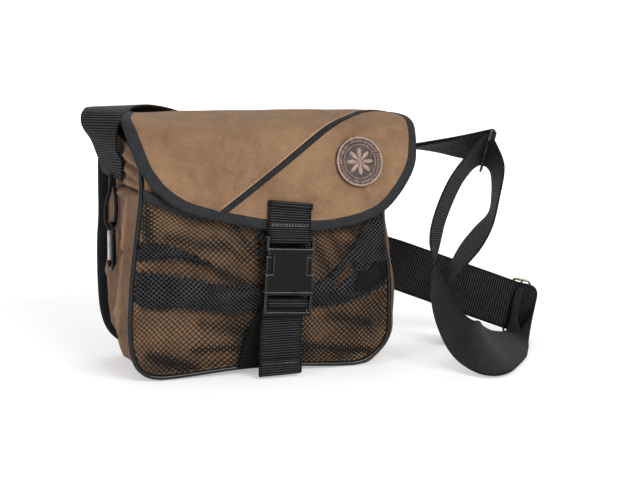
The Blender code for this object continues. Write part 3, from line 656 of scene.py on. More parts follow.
# slanting creases where the net shows closer: x, z to x, z, half width, share
netCreases = [
    (-67.5, 26, -21.7, 27, 3, 0.42), (-106, 23, -65.7, 8, 4, 0.42), (-12.9, 111, -30, 134, 2.6, 0.4),
    (-20, 104, -50, 128, 2.2, 0.3), (-109, 157, -106, 127, 5, 0.42), (-90, 128, -40, 116, 4, 0.25),
    (-52, 101, -38, 91, 2.6, 0.4), (-60, 50, -20, 40, 4, 0.22), (44, 120, 62, 86, 2.6, 0.3),
    (60, 128, 76, 96, 2.4, 0.25), (74, 134, 88, 122, 3, 0.4), (36, 24, 100, 14, 3, 0.42),
    (60, 50, 100, 40, 4, 0.28), (-60, 146, 100, 150, 6, 0.25), (80, 34, 108, 52, 20, 0.2),
    (20, 12, 80, 12, 10, 0.16), (-100, 12, -30, 10, 8, 0.14), (-30, 60, -20, 20, 9, 0.2),
    (28, 62, 34, 20, 9, 0.2), (-41, 94, -22, 84, 4, 0.4), (80, 112, 90, 96, 5, 0.45),
]


def bunchShare(x, z):
    # from 0 outside the bunched bands to 1 well inside, and how far down its band the point is
    best, down = 0, 0
    for rows in bunches:
        if not rows[0][0] - 1 <= x <= rows[-1][0] + 1:
            continue
        high, low = lookUp(rows, x, 1), lookUp(rows, x, 2)
        edge = min(high - z, z - low) + 0.8 * ripple(x, z, 11, 8)
        share = clamp(0.5 + edge / 2) * (1 - min(1, foldHeight(x, z, netWindows)))
        if share > best:
            best, down = share, clamp((high - z) / max(1, high - low))
    return best, down


def netDepth(x, z):
    # folds and bunches die out at the sides and at the bottom
    soft = clamp((bulge["half"] - abs(x)) / 14) * clamp(z / 14)
    wave = foldHeight(x, z, netFolds) + 0.9 * ripple(x, z, 9, 20)
    share, down = bunchShare(x, z)
    wave += share * pocket["rise"] * sin(pi * down) ** 0.7
    wave += share * 0.7 * sin(down * 9 + x * 0.05)
    return body["front"] - pocket["stand"] - swell(x, z, pocket["swell"]) - soft * wave


sideTable = sorted(row[:3] for row in bodyRows)
bottomTable = frontPath[rowCount - 1:1 - rowCount]


def insideNet(x, z):
    if not lookUp(sideTable, z, 1) + pocket["side"] < x < lookUp(sideTable, z, 2) - pocket["side"]:
        return False
    return lookUp(bottomTable, x) + pocket["foot"] < z < lookUp(pocketTop, x) - pocket["head"]


def netMesh(shift, lift, holeAt, size=1):
    # diamond lattice; holeAt gives how open each cell is, or None for no cell
    stepX, stepZ = pocket["pitchX"] / 2 * size, pocket["pitchZ"] / 2 * size
    columns = int(pocket["half"] / stepX)
    points, flat, faces, known = [], [], [], {}

    def addPoint(x, z, sink):
        points.append((x * mm, (netDepth(x, z) + sink - lift) * mm, z * mm))
        flat.append((x, z))
        return len(points) - 1

    def stray(x, z, nearSeed, farSeed):
        return pocket["wander"] * ripple(x, z, nearSeed, 24) + pocket["drift"] * ripple(x, z, farSeed, 62)

    def spotAt(a, b):
        x, z = a * stepX + shift, b * stepZ + shift * 0.6
        x += stray(x, z, 13, 31)
        return x, z + stray(x, z, 17, 37)

    def corner(a, b):
        if (a, b) not in known:
            known[(a, b)] = addPoint(*spotAt(a, b), 0)
        return known[(a, b)]

    for b in range(int(pocket["high"] / stepZ)):
        for a in range(-columns, columns + 1):
            x, z = spotAt(a, b)
            if (a + b) % 2 or not insideNet(x, z):
                continue
            hole = holeAt(x, z)
            if hole is None:
                continue
            around = [(a - 1, b), (a, b - 1), (a + 1, b), (a, b + 1)]
            outer = [corner(*r) for r in around]
            inner = []
            for r in around:
                p = spotAt(*r)
                inner.append(addPoint(x + (p[0] - x) * hole, z + (p[1] - z) * hole, pocket["bevel"]))
            for k in range(4):
                n = (k + 1) % 4
                faces.append((outer[k], outer[n], inner[n], inner[k]))
    mesh = bpy.data.meshes.new("net")
    mesh.from_pydata(points, [], faces)
    spreadUv(mesh, flat)
    return mesh


def baseHole(x, z):
    close = min(0.48, foldHeight(x, z, netCreases)) + 0.1 * max(0, ripple(x, z, 21, 16))
    tight = 0.9 - 0.32 * min(1, foldHeight(x, z, netFlat))
    return pocket["open"] * (1 - tight * bunchShare(x, z)[0]) * (1 - close) + 0.04 * ripple(x, z, 7, 5)


def raisedHole(x, z):
    flat = foldHeight(x, z, netFlat) + 0.2 * ripple(x, z, 41, 9)
    return pocket["open"] if bunchShare(x, z)[0] > 0.3 and flat < pocket["flat"] else None


# where the net lies doubled it shows black: the second layer of net and painted shade behind it
def liesDoubledInShade(spot):
    return bunchShare(spot.x, spot.z)[0] > 0.55 and foldHeight(spot.x, spot.z, netFlat) < pocket["flat"]


net = addPiece("pocket_net", netMesh(0, 0, baseHole), netNylon, ["mesh_pocket"])
secondMaterial(net, netDoubledAndShaded, liesDoubledInShade)
# raised lattice over the bunches; its grey is a painted highlight
addPiece("pocket_net_bunched", netMesh(1.4, 0.9, raisedHole, 0.84), netRaisedLit, [])

# tape folded over the pocket's top edge: distance down, height out
bandTape = {"left": -110.6, "length": 222, "steps": 120}
bandHalf = [(-0.4, 0.3), (0.2, 1.1), (2, 1.5), (4.6, 1.6), (7.3, 1.5), (9, 1.1), (9.5, 0.3)]
bandSection = [(d, -h) for d, h in bandHalf] + bandHalf[::-1]
bandRows, bandUvs = [], []
for k in range(bandTape["steps"] + 1):
    reach = bandTape["length"] * k / bandTape["steps"]
    x = bandTape["left"] + reach
    z = lookUp(pocketTop, x)
    bandRows.append([(x, netDepth(x, z - d) + h, z - d) for d, h in bandSection])
    bandUvs.append([(d, reach) for d, h in bandSection])
addPiece("pocket_tape", makeMesh(bandRows, bandUvs, wrap=True), tape, ["pocket_binding"])
print("net pocket made")

# side and bottom cloth: folds as depth, height to depth, height, half width, height out
leftFolds = [
    (-56, 166.5, -20, 168.5, 1.9, -4.8), (-20, 168.5, 14, 166, 2, -3.4), (-54, 171.5, -24, 173.5, 2.6, 3),
    (-22, 163, 10, 160, 3.2, 2.2), (-58, 184.5, -10, 195, 2.1, -3.6), (-60, 190, -14, 201, 3.4, 3),
    (-60, 178, -22, 187, 3, 2.8), (-58, 174.5, -34, 180, 1.8, -2.4), (-34, 160, -40, 96, 3.6, 3),
    (-18, 150, -30, 96, 3.2, -2.8), (-8, 128, -34, 88, 2.6, -2.6), (-40, 92, -32, 20, 5, 3),
    (-20, 78, -14, 22, 5, -2.2), (26, 150, 20, 40, 8, 1.8), (-52, 118, -30, 108, 2.4, -1.6),
    (-22, 84, -6, 96, 2.4, 1.8), (-46, 60, 10, 48, 3.4, 1.8), (-50, 44, -10, 30, 3, -1.6),
    (-4, 70, 30, 92, 4, 1.6),
]
# how far each side swells out, its folds and waves, and the right side's swell by height
sideForm = {"left": 3, "bottom": 7, "right": 7, "more": 9, "peak": 0.62, "inFront": 2.4, "inBack": 1.6,
            "folds": 1.9, "leftWave": 0.9, "wave": 1.4, "floor": 0.85, "full": 2.6}
rightLow = [(0, 0.55), (50, 1), (200, 0.27)]
# where the strap presses the left side in, from a height and a depth on
pressed = {"z": 168, "rise": 6, "y": -30, "run": 10, "sink": 1.2}


def sideSwell(i, t, z):
    if i >= len(frontPath) - rowCount:
        high = sideForm["right"] + sideForm["more"] * lookUp(rightLow, z)
        return high * sin(pi * t ** sideForm["peak"])
    high = sideForm["left"] if i < rowCount else sideForm["bottom"]
    return high * sin(pi * t)


def gussetPoint(i, t):
    a, b = frontPath[i], backPath[i]
    n = frontNormals[i]
    x, z = between(a, b, t)
    first = body["front"] + sideForm["inFront"]
    y = first + (body["back"] - sideForm["inBack"] - first) * t
    edge = min(1, t / 0.06) * min(1, (1 - t) / 0.1)
    out = sideSwell(i, t, z)
    if i < rowCount:
        extra = sideForm["folds"] * sharpFold(y, z, leftFolds) + sideForm["leftWave"] * ripple(y, z, 2, 11)
        under = clamp((z - pressed["z"]) / pressed["rise"]) * clamp((y - pressed["y"]) / pressed["run"])
        out += edge * (extra if extra < 0 else extra * (1 - under)) - pressed["sink"] * under
    else:
        out += edge * sideForm["wave"] * ripple(y, z + x * 0.3, 4, 24)
    return (x + n[0] * out, y, max(z + n[1] * out, sideForm["floor"]))


def foldMark(y, z):
    return max(-1, min(1, sharpFold(y, z, leftFolds) / sideForm["full"]))


# steps from front to back, closer at the front
depthSteps = [(k / 76) ** 1.15 for k in range(77)]
gussetRows = [[gussetPoint(i, t) for t in depthSteps] for i in range(len(frontPath))]
gussetUvs = [[(p[1], reach) for p in row] for row, reach in zip(gussetRows, frontReach)]
sideMesh = makeMesh(gussetRows, gussetUvs)
# only the left side is marked, for painted shade in the fold hollows and pale crests that are part wear
# and part painted highlight
markPoints(sideMesh, "fold", [foldMark(y, z) if x < -60 else 0 for row in gussetRows for x, y, z in row])
gusset = addPiece("side_cloth", sideMesh, canvasShade, ["gusset"], body["canvas"])

pipePath = [(x, body["front"], max(z, body["piping"] + 0.05)) for x, z in frontPath]
addPiece("piping_cord", roundTube(pipePath, body["piping"]), vinyl, ["front_piping"])

# tape folded round the back seam, standing out as a flange: distance out, depth
flangeTape = {"back": 0.3, "low": 1.6, "lowShare": 0.5}
flange = [(-0.4, -0.9), (0.4, -1.5), (3, -1.7), (7, -1.7), (9.4, -1.3), (10, -0.3),
          (10, 0.9), (9.4, 1.8), (7, 2.2), (3, 2.1), (0.4, 1.8), (-0.4, 1)]
flangePaths = [offsetPath(backPath, -d) for d, h in flange]
flangeRows = [[] for reach in frontReach]
for path, (d, h) in zip(flangePaths, flange):
    for row, (x, z) in zip(flangeRows, path):
        low = flangeTape["low"] + h * flangeTape["lowShare"]
        row.append((x, body["back"] + h + flangeTape["back"], max(z, low)))
flangeUvs = [[(d, reach) for d, h in flange] for reach in frontReach]
addPiece("seam_tape", makeMesh(flangeRows, flangeUvs, wrap=True), narrowTape, ["back_binding"])
print("side cloth, piping and seam tape made")

# flap profile from the front edge to the back seam: depth, height
profilePoints = smoothRows([
    (-82.4, 129.3), (-82.4, 138), (-82.2, 148), (-81.5, 160), (-80.3, 172),
    (-78.5, 186), (-76, 198), (-72, 208), (-65, 217), (-54, 224.5),
    (-38, 229.8), (-18, 232.3), (5, 231.8), (25, 229.8), (42, 227),
    (57, 223.6)], 8)
# flap outline: distance along the profile, left, right
flapRows = [
    (0, 28, 56), (1.2, 8, 66), (3.5, -8, 80), (6.2, -22, 91),
    (10.8, -43.5, 103), (15, -60, 110.5), (20.8, -76.8, 117.8), (28, -89, 124.8),
    (36, -98.5, 131.4), (46, -107, 137.8), (54.5, -113, 141.9), (63, -116.7, 144.7),
    (77, -120.8, 146.7), (87, -123, 147.8), (98, -124, 149.5), (110, -123.6, 151),
    (125, -120.4, 151.5), (143, -113, 150), (165, -108, 145), (185, -106.5, 138.5),
    (202, -107.5, 131), (216, -108.5, 126.5),
]
flapFolds = [
    (-100, 117, -20, 101, 12, -1.5), (60, 35, 100, 25, 9, 0.9), (110, 75, 135, 55, 8, 1),
    (104, 96, 128, 84, 3.2, 0.7), (70, 22, 92, 34, 3.4, 0.6), (-70, 60, -20, 44, 7, 0.6),
    (-96, 96, -60, 84, 6, -0.6), (-60, 150, 60, 140, 16, 1), (110, 120, 140, 100, 5, -0.9),
    (95, 128, 120, 112, 5, 0.8),
]
flap = {"tape": 9.5, "thick": 2.2, "under": 3.2, "rows": 110, "columns": 130, "crowd": 1.1,
        "wave": 0.55, "size": 40}
# the front edge curves back at both sides, and the right corner hangs lower
flapCurve = {"back": 7, "middle": 10, "half": 125, "from": 125, "over": 50}
flapDroop = {"down": 5, "from": 100, "over": 50, "full": 120}
profileTable = [(reach, *p) for reach, p in zip(pathLengths(profilePoints), profilePoints)]


def profileAt(along):
    return lookUp(profileTable, along, 1), lookUp(profileTable, along, 2)


def onFlap(x, along, lift=0):
    # point of the flap at a place across and along it, lifted off its face
    y, z = profileAt(along)
    (y0, z0), (y1, z1) = profileAt(along - 2), profileAt(along + 2)
    dy, dz = y1 - y0, z1 - z0
    length = hypot(dy, dz) or 1
    lift += foldHeight(x, along, flapFolds) + flap["wave"] * ripple(x, along, 6, flap["size"])
    curve = ((x - flapCurve["middle"]) / flapCurve["half"]) ** 2
    y += flapCurve["back"] * curve * clamp((flapCurve["from"] - along) / flapCurve["over"])
    droop = max(0, (x - flapDroop["from"]) / flapDroop["over"]) ** 2
    z -= flapDroop["down"] * droop * min(1, along / flapDroop["full"])
    return (x, y - dz / length * lift, z + dy / length * lift)


leftEdge = [(left, along) for along, left, right in flapRows][::-1]
rightEdge = [(right, along) for along, left, right in flapRows]
flapRim = smoothRows(leftEdge + rightEdge, 8)
# how much of the tape's width shows: distance along, left side, right side
tapeShares = smoothRows([
    (40, 1, 1), (54.5, 1.1, 0.98), (63, 1.12, 0.95), (77, 1.12, 0.87), (87, 1.15, 0.81),
    (98, 1.12, 0.77), (110, 1, 0.75), (125, 0.82, 0.75), (150, 0.66, 0.75)], 6)


def tapeInset(inset):
    # rim moved in, by the share of the width that shows there
    out = []
    for (x, along), (nx, na) in zip(flapRim, pathNormals(flapRim)):
        share = lookUp(tapeShares, along, 1 if x < 0 else 2)
        out.append((x - nx * inset * share, along - na * inset * share))
    return out


# seam between the flap's two panels: its ends as x and distance along, its tape and folded edge
diagonal = {"from": (-46, 17.3), "to": (154, 160), "start": -0.012, "share": 0.927, "steps": 120,
            "ridge": 4.1, "ridgeSize": (1, 0.9)}
edgeCord = {"start": 0.02, "share": 0.88, "beside": 3.5, "lift": 1.35, "wave": 0.12, "radius": 0.55}
diagonalFrom, diagonalTo = Vector(diagonal["from"]), Vector(diagonal["to"])
diagonalRun = diagonalTo - diagonalFrom
diagonalSide = Vector((-diagonalRun.y, diagonalRun.x)).normalized()
ridgeShift = diagonalSide * diagonal["ridge"]
ridge = [(*(diagonalFrom + ridgeShift), *(diagonalTo + ridgeShift), *diagonal["ridgeSize"])]

clothRim = tapeInset(flap["tape"] - flap["under"])
turning = len(clothRim) // 2
leftTable = sorted((p[1], p[0]) for p in clothRim[:turning + 1])
rightTable = sorted((p[1], p[0]) for p in clothRim[turning:])
lowest = min(p[1] for p in clothRim) + 0.2
backSeam = flapRows[-1][0]
flapGrid, flapUvs = [], []
for i in range(flap["rows"] + 1):
    along = lowest + (backSeam - lowest) * (i / flap["rows"]) ** flap["crowd"]
    low, high = lookUp(leftTable, along), lookUp(rightTable, along)
    spots = [(low + (high - low) * k / flap["columns"], along) for k in range(flap["columns"] + 1)]
    flapGrid.append([onFlap(*spot, foldHeight(*spot, ridge)) for spot in spots])
    flapUvs.append(spots)
flapCloth = addPiece("flap_cloth", makeMesh(flapGrid, flapUvs), canvas,
                     ["flap_upper", "flap_lower"], flap["thick"])

# tape round the flap's rim: distance in, height
rimSection = [(0, 0), (0.25, 1.1), (1.2, 1.75), (3.5, 1.95), (6.5, 1.95), (8.6, 1.75), (9.4, 1.2),
              (9.4, -1.2), (8.6, -1.75), (6.5, -1.95), (3.5, -1.95), (1.2, -1.75), (0.25, -1.1)]
rimPaths = [tapeInset(d) for d, h in rimSection]
rimRows, rimUvs = [], []
for i, reach in enumerate(pathLengths(flapRim)):
    rimRows.append([onFlap(*path[i], h) for path, (d, h) in zip(rimPaths, rimSection)])
    rimUvs.append([(d, reach) for d, h in rimSection])
addPiece("flap_tape", makeMesh(rimRows, rimUvs, wrap=True), tape, ["flap_binding"])

# tape over the diagonal seam, and the folded edge beside it, painted pale: a painted highlight
seamSection = [(-3, 0.4), (-2.7, 1.5), (-1.2, 1.9), (1.2, 1.9), (2.7, 1.5), (3, 0.4)]
seamRows, seamUvs, edgeLine = [], [], []
for k in range(diagonal["steps"] + 1):
    t = k / diagonal["steps"]
    spot = diagonalFrom + diagonalRun * (diagonal["start"] + diagonal["share"] * t)
    seamRows.append([onFlap(*(spot + diagonalSide * a), h) for a, h in seamSection])
    seamUvs.append([(a, diagonalRun.length * diagonal["share"] * t) for a, h in seamSection])
    spot = diagonalFrom + diagonalRun * (edgeCord["start"] + edgeCord["share"] * t)
    spot += diagonalSide * edgeCord["beside"]
    edgeLine.append(onFlap(*spot, edgeCord["lift"] + edgeCord["wave"] * ripple(k, 0, 8, 5)))
addPiece("diagonal_tape", makeMesh(seamRows, seamUvs, wrap=True), narrowTape, ["diagonal_binding"])
addPiece("diagonal_edge", roundTube(edgeLine, edgeCord["radius"], 8), canvasEdgeHighlight, [])
print("flap made")

# leather patch: a disc with a raised rim, a rope ring and a plain rosette in low relief
patch = {"at": (85.8, 60), "slopeAt": (88.5, 60), "inner": 0.05, "radius": 23, "rings": 60, "steps": 216,
         "beads": 46, "petals": 8, "top": 1.7, "relief": 1.1, "shoulder": 22.2, "fall": 0.8, "under": -0.9}


def patchRelief(r, q):
    rim = exp(-((r - 21.6) / 1) ** 2)
    rope = exp(-((r - 18.4) / 0.9) ** 2) * (0.5 + 0.5 * cos(q * patch["beads"] + r * 1.2))
    groove = 0.7 * exp(-((r - 15.4) / 0.5) ** 2)
    petal = abs(cos(q * patch["petals"] / 2))
    flower = 0.75 / (1 + exp((r - 4 - 8.6 * petal) * 2.2)) * (0.45 + 0.55 * petal)
    heart = 0.8 * exp(-(r / 2.6) ** 2)
    return rim + rope + groove + max(flower, heart)


def circle(r, q):
    return r * cos(q), r * sin(q)


# rings from the middle out, then one down the edge
patchRows, patchUvs, reliefValues = [], [], []
growth = (patch["radius"] - patch["inner"]) / patch["rings"]
radii = [patch["inner"] + growth * k for k in range(patch["rings"] + 1)]
angles = [fullTurn * k / patch["steps"] for k in range(patch["steps"])]
for r in radii:
    high = [patchRelief(r, q) for q in angles]
    base = patch["top"] - max(0, r - patch["shoulder"]) * patch["fall"]
    patchRows.append([(*circle(r, q), base + patch["relief"] * h) for q, h in zip(angles, high)])
    patchUvs.append([(r, r * q) for q in angles])
    reliefValues += [min(1, h) for h in high]
patchRows.append([(*circle(patch["radius"], q), patch["under"]) for q in angles])
patchUvs.append(patchUvs[-1])
reliefValues += [0] * patch["steps"]
patchMesh = makeMesh(patchRows, patchUvs, wrap=True)
markPoints(patchMesh, "relief", reliefValues)


def flapSlope(dx, da):
    # direction of the flap's face from one side of the patch to the other
    x, along = patch["slopeAt"]
    return (Vector(onFlap(x + dx, along + da)) - Vector(onFlap(x - dx, along - da))).normalized()


ahead, beside = flapSlope(0, 10), flapSlope(10, 0)
outward = beside.cross(ahead).normalized()
turn = Matrix((beside, outward.cross(beside), outward)).transposed().to_4x4()
turn.translation = Vector(onFlap(*patch["at"], flap["thick"] / 2 - patch["under"])) * mm
patchMesh.transform(turn)
addPiece("patch_disc", patchMesh, leather, ["leather_patch"])
print("patch made")

# closing strap on the flap, and the lower strap: centre x, y, z and tilt; hems by width and thickness
closing = {"width": 39, "thick": 1.5, "topHem": (41.6, 1.3), "tailHem": (40, 1.9), "underNet": -83.8}
flapStrapRows = [
    (17.9, -84, 155.6, -0.12), (17.3, -84.8, 148, -0.11), (16.6, -86.6, 140, -0.09),
    (15.8, -87.4, 134, -0.07), (15.6, -88.6, 129.4, -0.06), (15.5, -91, 126.6, -0.06),
    (15.4, -92.7, 124.6, -0.06), (15.4, -92.4, 121.8, -0.06), (15.4, -90.2, 120.5, -0.06),
    (15.4, -88, 121.7, -0.06), (15.5, -86.5, 125, -0.06), (15.6, -85.4, 130, -0.06),
    (15.7, -85.3, 138.6, -0.06),
]
lowerRows = [
    (-7, -69.6, 7, -0.02), (-5, -73.4, 22, -0.04), (-0.5, -78, 42, -0.05),
    (7, -82.2, 56, -0.06), (11.4, -84.2, 63.6, -0.06), (12.1, -86.2, 68.4, -0.06),
    (12.2, -89.8, 70.5, -0.06), (12.2, -93.4, 69.6, -0.06), (12.2, -94.9, 67.3, -0.06),
    (12.1, -93.8, 64.7, -0.06), (12, -90.8, 63.5, -0.06), (11.6, -88.6, 61.4, -0.05),
    (10.6, -87.6, 57, -0.04), (8, -87.8, 47, 0), (6.9, -88.2, 20, 0),
    (6.5, -88.6, 6, 0.02), (6.5, -88.4, 3.4, 0.02), (6.5, -87.5, 2.6, 0.02),
    (6.5, -86.8, 3.8, 0.02), (6.5, -86.7, 13.6, 0.02),
]
topHem = [(18.1, -85.6, 156.2, -0.12), (18.1, -86, 154.6, -0.12), (17.9, -86.3, 151.2, -0.12)]
tailHem = [(6.5, -89.6, 3.2, 0.02), (6.5, -90, 6, 0.01), (6.6, -90, 12, 0), (6.7, -89.9, 16.6, 0)]


def closingStrap(name, rows, replaced, per, section, flare=()):
    dense = [(x, y, z, 1, 0, tilt) for x, y, z, tilt in smoothRows(rows, per)]
    return addPiece(name, sweep(dense, section, flare=flare), webbingRibbed, replaced)


closingSection = sectionOf(closing["width"], closing["thick"], 12)
closingStrap("flap_webbing", flapStrapRows, ["flap_strap"], 10, closingSection, [(0, 1.055), (40, 1)])
lower = closingStrap("lower_webbing", lowerRows, ["lower_strap"], 10, closingSection)
# the part behind the net takes a darker copy of the webbing: painted shade
secondMaterial(lower, webbingShadedUnderNet, lambda spot: spot.y > closing["underNet"])
closingStrap("flap_webbing_hem", topHem, [], 5, sectionOf(*closing["topHem"], 10))
closingStrap("tail_hem", tailHem, [], 6, sectionOf(*closing["tailHem"], 10))
# stitch rows: name, left and right x, y, left and right z
stitches = {"length": 1.9, "gap": 0.8, "radius": 0.36}
for name, x0, x1, y, z0, z1 in (("stitches_flap_strap", -1.6, 33.6, -88.1, 137.6, 135.2),
                                ("stitches_flap_strap_low", -1.6, 33.6, -88.4, 136.2, 133.8),
                                ("stitches_tail_hem", -11, 24, -90.7, 13.6, 13.2)):
    stitchRow(name, [(x0, y, z0), (x1, y, z1)], stitches, thread, Vector((0, -1, 0)))
print("closing straps made")

# shoulder strap: centre x, y, z and the direction across the width
shoulder = {"width": 50, "thick": 1.7, "per": 8, "steps": 14}
strapRows = [
    (-121.2, 6.3, 175, 0.14, -0.985, -0.1), (-122.8, 5.3, 190, 0.22, -0.97, 0.02),
    (-126.6, 5.5, 199.5, 0.2, -0.98, 0.02), (-128.5, 6, 209, 0.28, -0.96, 0.02),
    (-131.2, 7, 220, 0.47, -0.88, 0.02), (-128.8, 9, 228.5, 0.63, -0.775, 0.01),
    (-124.5, 13, 234.2, 0.7, -0.71, 0.02), (-117, 24, 237, 0.71, -0.7, 0.03),
    (-97, 42, 235.6, 0.62, -0.77, 0.11), (-66, 67, 220, 0.6, -0.6, 0.5), (-38, 76, 202, 0.6, -0.2, 0.75),
    (10, 79, 168, 0.56, 0, 0.83), (65, 79, 129, 0.5, 0, 0.86), (125, 74, 92, 0.32, -0.12, 0.94),
    (178, 55, 73, 0.32, -0.12, 0.94), (236, 33.5, 51, 0.3, -0.08, 0.94),
    (268, 20.5, 39, 0.25, -0.02, 0.96), (284, 10.9, 32.9, 0.2, 0, 0.98),
    (293.4, 12.7, 29.8, 0.2, 0, 0.98), (299, 5.5, 28.6, 0.24, 0.03, 0.97),
    (300.6, -2.5, 27, 0.3, 0.14, 0.94), (298.8, -10.5, 23.5, 0.4, 0.34, 0.85),
    (293.6, -19, 18.8, 0.46, 0.56, 0.68), (286, -29, 12, 0.42, 0.8, 0.42),
    (275.5, -40.5, 7.6, 0.32, 0.93, 0.2), (265, -54, 7.2, 0.24, 0.95, 0.19),
    (247, -74, 10.3, 0, 0.95, 0.31), (218, -109, 15.6, -0.14, 0.84, 0.52),
    (194, -138, 21.8, -0.24, 0.58, 0.78), (177, -152, 26.5, -0.15, 0.2, 0.95),
    (166, -149, 29.5, -0.08, -0.28, 0.93), (161, -133, 35, -0.02, -0.54, 0.84),
    (160, -110, 46, -0.06, -0.72, 0.7), (159, -93, 64, -0.12, -0.82, 0.56),
    (159, -82, 84, -0.28, -0.88, 0.38), (170, -58, 109, -0.56, -0.8, 0.14),
    (179, -50, 133, -0.6, -0.78, 0.18), (199, -38, 163, -0.56, -0.76, 0.24),
    (221, -27.5, 183, -0.32, -0.76, 0.5), (234, -22, 191.5, -0.2, -0.74, 0.64),
    (241, -20.6, 191.5, -0.2, -0.76, 0.61), (247.5, -20.8, 185, -0.23, -0.82, 0.5),
    (253, -21, 171, -0.2, -0.92, 0.24), (251, -21, 147, -0.32, -0.94, 0),
    (247.5, -18, 124, -0.38, -0.92, -0.16), (236, -14, 106, -0.32, -0.91, -0.3),
    (222, -10, 88, -0.3, -0.92, -0.24), (210, -6, 66, -0.34, -0.93, -0.1), (205, -1, 38, -0.34, -0.94, 0),
    (208, 4, 14, -0.34, -0.94, 0), (218, 6.5, 4.4, -0.33, -0.94, 0), (234, 3, 2.6, -0.3, -0.95, 0),
    (249, -6, 2.6, -0.25, -0.97, 0), (260, -22, 2.8, -0.24, -0.97, 0),
    (267, -28, 4.6, -0.22, -0.97, -0.07), (275, -24, 11, -0.16, -0.93, -0.3),
    (282.5, -11, 20, -0.14, -0.66, -0.74), (287.5, -1.5, 27, -0.16, -0.3, -0.94),
    (292, 4, 29.2, -0.2, -0.05, -0.98), (294, 7.2, 29.5, -0.2, 0, -0.98),
    (292.6, 10.4, 30, -0.2, 0, -0.98),
]
# where the twist pulls the ribs out of square: row, slant
ribSlant = [(row * shoulder["per"], slant) for row, slant in ((17, 0), (23, 1.3), (29, 1.3), (34, 0))]
strapSection = sectionOf(shoulder["width"], shoulder["thick"], shoulder["steps"])
strapMesh = sweep(smoothRows(strapRows, shoulder["per"]), strapSection, skew=ribSlant)
addPiece("shoulder_webbing", strapMesh, webbing, ["shoulder_strap"])

# tab from the right side out round the ring and back
tab = {"thick": 1.6, "gap": 1.1, "bend": 2.7, "turns": (-105, -75, -40, 0, 40, 75)}
tabRows = [
    (124.8, 13, 172, 0, -1, 0), (125.2, 13, 184, 0, -1, 0), (131, 12, 191.5, 0, -1, 0.02),
    (150, 9, 194, 0, -1, 0.05), (175, 4, 197, 0, -0.99, 0.12), (200, -5, 197.6, -0.05, -0.95, 0.27),
    (220, -13, 196.8, -0.12, -0.87, 0.46), (238, -17.5, 195, -0.2, -0.75, 0.63),
]
# the ring's outer bar: its middle, the direction along it and the way out of the tab
outerBar = {"middle": (243.8, -17.7, 195.5), "along": (-0.2, -0.74, 0.64), "away": (1, 0, 0.31)}


def doubled(rows, gap):
    # rows of the upper and of the lower layer of folded webbing
    points = [Vector(r[:3]) for r in rows]
    sides = [Vector(r[3:]).normalized() for r in rows]
    spots = list(zip(points, sides, tapeNormals(points, sides)))
    return [[(*(p + normal * lift), *s) for p, s, normal in spots] for lift in (gap, -gap)]


topRows, lowRows = doubled(tabRows, tab["gap"])
bar, away = Vector(outerBar["along"]).normalized(), Vector(outerBar["away"])
away = (away - bar * away.dot(bar)).normalized()
rise = bar.cross(away).normalized()
rollRows = []
for angle in tab["turns"]:
    spoke = away * cos(radians(angle)) - rise * sin(radians(angle))
    rollRows.append((*(Vector(outerBar["middle"]) + spoke * tab["bend"]), *bar))
tabPath = smoothRows(lowRows[:-1] + rollRows + topRows[:-1][::-1], shoulder["per"])
tabMesh = sweep(tabPath, sectionOf(shoulder["width"], tab["thick"], shoulder["steps"]))
addPiece("tab_webbing", tabMesh, webbing, ["strap_tab"])

# tape loop that holds the snap clip
clipLoop = {"width": 4.8, "thick": 2.7, "edge": 0.8}
loopRows = [
    (-120.6, 4, 178), (-120.6, 3, 171), (-120.4, -2, 160), (-120.6, -6, 148), (-121, -4, 138),
    (-121.6, -0.5, 132.4), (-124.7, -0.2, 128.8), (-128, 0.5, 132.2), (-128.6, 3, 138),
    (-127.8, 6, 147), (-125.8, 6, 156), (-124, 4, 164), (-123.2, 4, 171), (-123, 4, 178),
]
loopPath = smoothRows([(*spot, 0.1, -1, 0) for spot in loopRows], 6)
loopMesh = sweep(loopPath, sectionOf(clipLoop["width"], clipLoop["thick"], 4, clipLoop["edge"]))
addPiece("loop_tape", loopMesh, tapeBraid, ["clip_loop"])
print("straps made")


# what is cloth, and the size that it was cut to
def flatArea(obj):
    # area in square metres of the faces as they lie in the cut
    layer = obj.data.uv_layers["cloth"].data
    total = 0
    for polygon in obj.data.polygons:
        spots = [layer[i].uv for i in polygon.loop_indices]
        total += abs(sum(p[0] * q[1] - q[0] * p[1] for p, q in zip(spots, spots[1:] + spots[:1]))) / 2
    return total * mm * mm


print("cloth", [round(flatArea(o), 4) for o in (flapCloth, frontCloth, backCloth, gusset, net)])

# hard pieces keep their shape and take their real finish
finishes = {"buckle_female": acetal, "buckle_male": acetal, "strap_ring": brass, "strap_slider": brass,
            "carabiner_body": alloy, "carabiner_gate": steel}
for name, material in finishes.items():
    data = nodes[name].data
    data.materials.clear()
    data.materials.append(material)

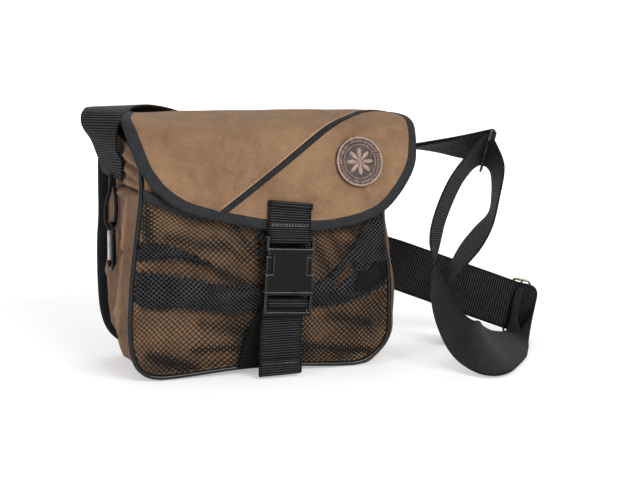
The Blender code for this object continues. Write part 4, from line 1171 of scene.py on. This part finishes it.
# white paper floor, lit up where the camera looks at it
floorForm = {"half": 6000, "low": -0.3}
ends = (-floorForm["half"], floorForm["half"])
floorMesh = makeMesh([[(x, y, floorForm["low"]) for x in ends] for y in ends],
                     [[(u, v) for u in (0, 1)] for v in (0, 1)])
floor = placeObject("floor", floorMesh)
paper = newMaterial("white paper sweep")
isSeen = addNode("LightPath").outputs["Is Camera Ray"]
distance = vectorMath("LENGTH", work["body"], {}, "Value")
paperTone = blendColour(noiseOf(2), "#f4f4f4", "#fbfbfb")
glow = times(isSeen, fade(distance, 0.4, 1.6, 0.4, 0.9))
setInputs(paper.node_tree.nodes["Principled BSDF"], {
    "Base Color": paperTone, "Roughness": 0.9, "Emission Color": "#ffffff", "Emission Strength": glow})
floorMesh.materials.append(paper)

# lights: place and target in metres, width and height, power in watts
lights = {"key": ((0.35, -1.75, 1), (0.05, 0, 0.1), 1, 0.8, 21),
          "fill": ((-1.5, -0.9, 0.7), (0, 0, 0.1), 0.2, 0.8, 4),
          "rear": ((0.5, 1.3, 1.2), (0.1, 0, 0.1), 1.2, 0.6, 5)}
for name, (place, target, width, height, power) in lights.items():
    data = bpy.data.lights.new(name, "AREA")
    data.shape = "RECTANGLE"
    data.size, data.size_y, data.energy = width, height, power
    aimAt(placeObject(name, data), place, target)
world = bpy.data.worlds.new("studio")
world.use_nodes = True
work["tree"] = world.node_tree
isSeen = addNode("LightPath").outputs["Is Camera Ray"]
setInputs(world.node_tree.nodes["Background"], {
    "Color": "#ffffff", "Strength": fade(isSeen, 0, 1, 0.46, 1.1)})
scene.world = world
scene.view_settings.view_transform = "Standard"

# camera: lens and sensor in millimetres, place and target in metres
view = {"lens": 82.69, "sensor": 36, "at": (-0.39824, -1.30431, 0.29196), "target": (0.07649, 0, 0.10923)}
cameraData = bpy.data.cameras.new("camera")
cameraData.lens = view["lens"]
cameraData.sensor_width = view["sensor"]
cameraData.clip_start = 0.05
camera = placeObject("camera", cameraData)
aimAt(camera, view["at"], view["target"])
scene.camera = camera

print("scene made")
